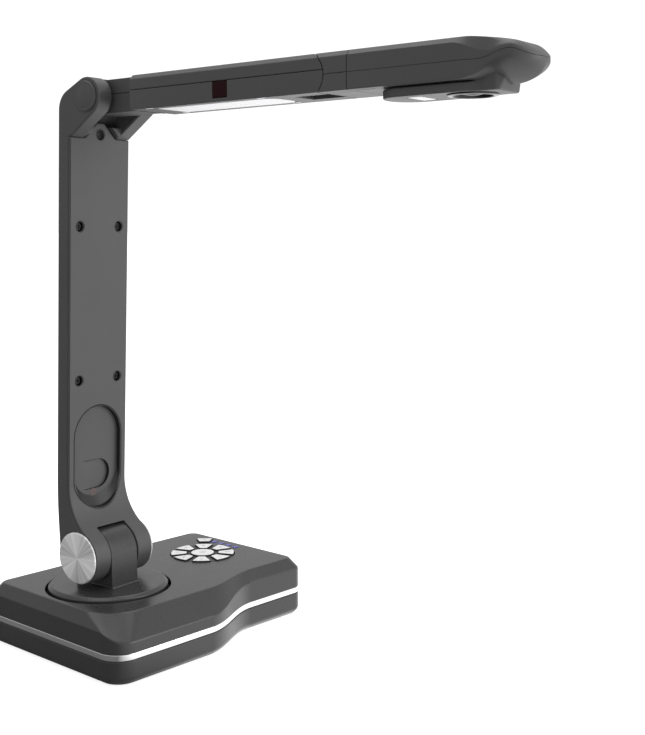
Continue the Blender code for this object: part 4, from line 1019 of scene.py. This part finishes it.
def pod_outline():
    """Plan of the lens pod: round rear end, straight sides, drawn in to a neck and a curved front."""
    rear = circle(0, -POD_REAR - POD_HALF, POD_HALF, 49, 0, 180)
    left = []
    for k in range(17):
        share = k / 16
        x = POD_HALF - (POD_HALF - POD_NECK_HALF) * smooth_step(share)
        left.append((-x, -POD_WAIST - (POD_NECK - POD_WAIST) * share))
    for k in range(13):
        share = 1 - k / 12
        left.append((-POD_NECK_HALF * share, -POD_FRONT + 7.0 * share ** 2.2))
    return rear + left + [(-x, y) for x, y in reversed(left[:-1])]


def pod():
    low, high = POD_LOW - TILT_Z, POD_TOP - TILT_Z
    inner, outer, rear, back = high + 7.0, high + 9, high - 0.3, low + 2.8
    body = prism("lens_pod_body", pod_outline(), low, inner, "z", TILT, ARM)
    under = [(-34, outer), (-34, rear), (-106, rear), (-110, rear + 0.8), (-114, outer)]
    ahead = -POD_FRONT - 5
    slant = [(ahead, low - 1), (-POD_FRONT + POD_SLANT, low - 1), (-POD_FRONT, outer), (ahead, outer)]
    window = rounded(rect(*POD_WINDOW), 1.2)
    tools = [
        prism("under_tool", under, -40, 40, "x", TILT),
        prism("slant_tool", slant, -40, 40, "x", TILT),
        prism("lens_seat_tool", circle(0, -LENS_REACH, 12.6, 96), low - 2, low + 3.2, "z", TILT),
        prism("window_tool", window, low - 2, low + 1.6, "z", TILT),
    ]
    place_on(soften(cut(body, *tools), 0.9), "head", "arm_plastic", "lens_pod")
    light = prism("pod_light_plate", inset(window, 0.3), low - 0.1, low + 1.3, "z", TILT, DIFFUSER, 0.3)
    place_on(light, "head", "diffuser", "pod_light_window")
    centre = (0, -LENS_REACH, 0)
    ring = [(GLASS_R + 0.3, low + 1.4), (GLASS_R + 1.0, low - 0.3), (GLASS_R + 1.7, low - 1.0),
            (GLASS_R + 2.2, low - 1.1), (LENS_R - 0.9, low - 1.0), (LENS_R - 0.2, low - 0.7),
            (LENS_R, low - 0.3), (LENS_R, low - 0.2), (12.2, low - 0.2), (12.2, back), (GLASS_R + 0.3, back)]
    place_on(turned("lens_bezel", ring, centre, "z", TILT, RING, 128), "head", "lens_ring_metal", "lens_ring")
    bulge = [(0, low - 0.6), (2.5, low - 0.5), (5, low - 0.1), (7.5, low + 0.6), (GLASS_R, low + 1.6),
             (GLASS_R, back), (0, back)]
    place_on(turned("front_lens", bulge, centre, "z", TILT, GLASS, 96), "head", "lens_glass", "lens_glass")


# ---------------------------------------------------------------- inner pieces that keep their CAD shape

def repaint():
    iron = mirror_metal("ballast_iron", (0.30, 0.30, 0.31), 0.55)
    board = board_green("board_solder_mask", (0.02, 0.12, 0.06))
    white_board = board_green("led_board_white", (0.6, 0.6, 0.58))
    for look, nodes in ((iron, ("base_weight",)), (board, ("main_board", "keypad_board", "camera_board")),
                        (white_board, ("light_board",)), (BLACK, ("swivel_bearing", "lens_barrel")),
                        (STEEL, ("swivel_spindle", "spindle_nut", "lower_hinge_pin", "upper_hinge_pin", "tilt_pin",
                                 "roll_spindle"))):
        for node in nodes:
            held = frame["nodes"][node]
            held.data.materials.clear()
            held.data.materials.append(look)


# ---------------------------------------------------------------- floor, light and camera

SKY_DARK, SKY_LIGHT, SKY_SEEN = 0.62, 0.74, 1.1
KEY_POWER, TOP_POWER = 17, 13
FLOOR_HALF = 30.0
FLOOR_DARK, FLOOR_LIGHT, FLOOR_SOFT, FLOOR_SEEN = 0.03, 1.35, 0.42, 0.80


def aim(made, target):
    made.rotation_euler = (Vector(target) - made.location).to_track_quat("-Z", "Y").to_euler()


def area_light(name, place, target, size, power):
    lamp = bpy.data.lights.new(name, "AREA")
    lamp.shape = "RECTANGLE"
    lamp.size, lamp.size_y = size
    lamp.energy = power
    made = bpy.data.objects.new(name, lamp)
    bpy.context.scene.collection.objects.link(made)
    made.location = place
    aim(made, target)
    return made


def studio():
    scene = bpy.context.scene
    scene.view_settings.view_transform = "Standard"
    mesh = bpy.data.meshes.new("studio_floor")
    corners = rect(-FLOOR_HALF, -FLOOR_HALF, FLOOR_HALF, FLOOR_HALF)
    mesh.from_pydata([(x, y, 0) for x, y in corners], [], [(0, 1, 2, 3)])
    floor = bpy.data.objects.new("studio_floor", mesh)
    scene.collection.objects.link(floor)
    floor.location.z = -0.0002
    mesh.materials.append(floor_material())
    world = bpy.data.worlds.new("studio_world")
    scene.world = world
    sky = Tree(world)
    nodes, white = sky.tree.nodes, (1.0, 1.0, 1.0, 1.0)
    facing = sky.along(sky.add("ShaderNodeTexCoord").outputs["Generated"], (0.72, -0.62, 0.30))
    lit = sky.wire(nodes["Background"], {0: white, 1: sky.span(facing, SKY_DARK, SKY_LIGHT, -0.7, 0.9)})
    seen = sky.add("ShaderNodeBackground", {0: white, 1: SKY_SEEN})
    path = sky.add("ShaderNodeLightPath")
    mix = sky.add("ShaderNodeMixShader", {0: path.outputs["Is Camera Ray"], 1: lit.outputs[0], 2: seen.outputs[0]})
    sky.wire(nodes["World Output"], {0: mix.outputs[0]})

    middle = Vector((0.0, 0.0, 0.2))
    area_light("key_softbox", (0.9, -1.7, 0.9), middle, (1.2, 1.6), KEY_POWER)
    area_light("overhead_softbox", (0.2, 0.3, 2.0), middle, (1.8, 1.8), TOP_POWER)


def floor_material():
    """Pale floor: white to look at, and brighter on the lit side in what the object picks up from it."""
    made = Nodes("studio_floor_white", (0.80, 0.80, 0.80), 0.95)
    made.set(made.shader, "Emission Color", (1.0, 1.0, 1.0, 1.0))
    bounce = made.span(made.along(made.place, (0.75, -0.66, 0.0)), FLOOR_DARK, FLOOR_LIGHT, -0.12, -0.03)
    path = made.add("ShaderNodeLightPath")
    direct = path.outputs["Is Camera Ray"]
    soft = made.either(path.outputs["Is Diffuse Ray"], bounce, FLOOR_SOFT)
    made.link(made.either(direct, soft, FLOOR_SEEN), "Emission Strength")
    shade = made.either(direct, 0.12, 0.8)
    grey = made.add("ShaderNodeCombineXYZ", {"X": shade, "Y": shade, "Z": shade})
    made.link(grey.outputs[0], "Base Color")
    return made.material


def camera():
    data = bpy.data.cameras.new("photo_camera")
    data.lens, data.sensor_width = LENS_MM, 36.0
    data.clip_start, data.clip_end = 0.01, 100.0
    made = bpy.data.objects.new("photo_camera", data)
    bpy.context.scene.collection.objects.link(made)
    made.location = BASE @ Vector([c * MM for c in CAMERA_AT])
    a, e = math.radians(CAMERA_AZIMUTH), math.radians(CAMERA_ELEVATION)
    back = Vector((math.sin(a) * math.cos(e), -math.cos(a) * math.cos(e), math.sin(e)))
    made.rotation_euler = (-back).to_track_quat("-Z", "Y").to_euler()
    bpy.context.scene.camera = made


base_shells()
base_small_parts()
keypad()
turntable()
lower_arm()
recess()
arm_fixings()
upper_arm()
tilt_block()
head_shells()
pod()
repaint()
studio()
camera()
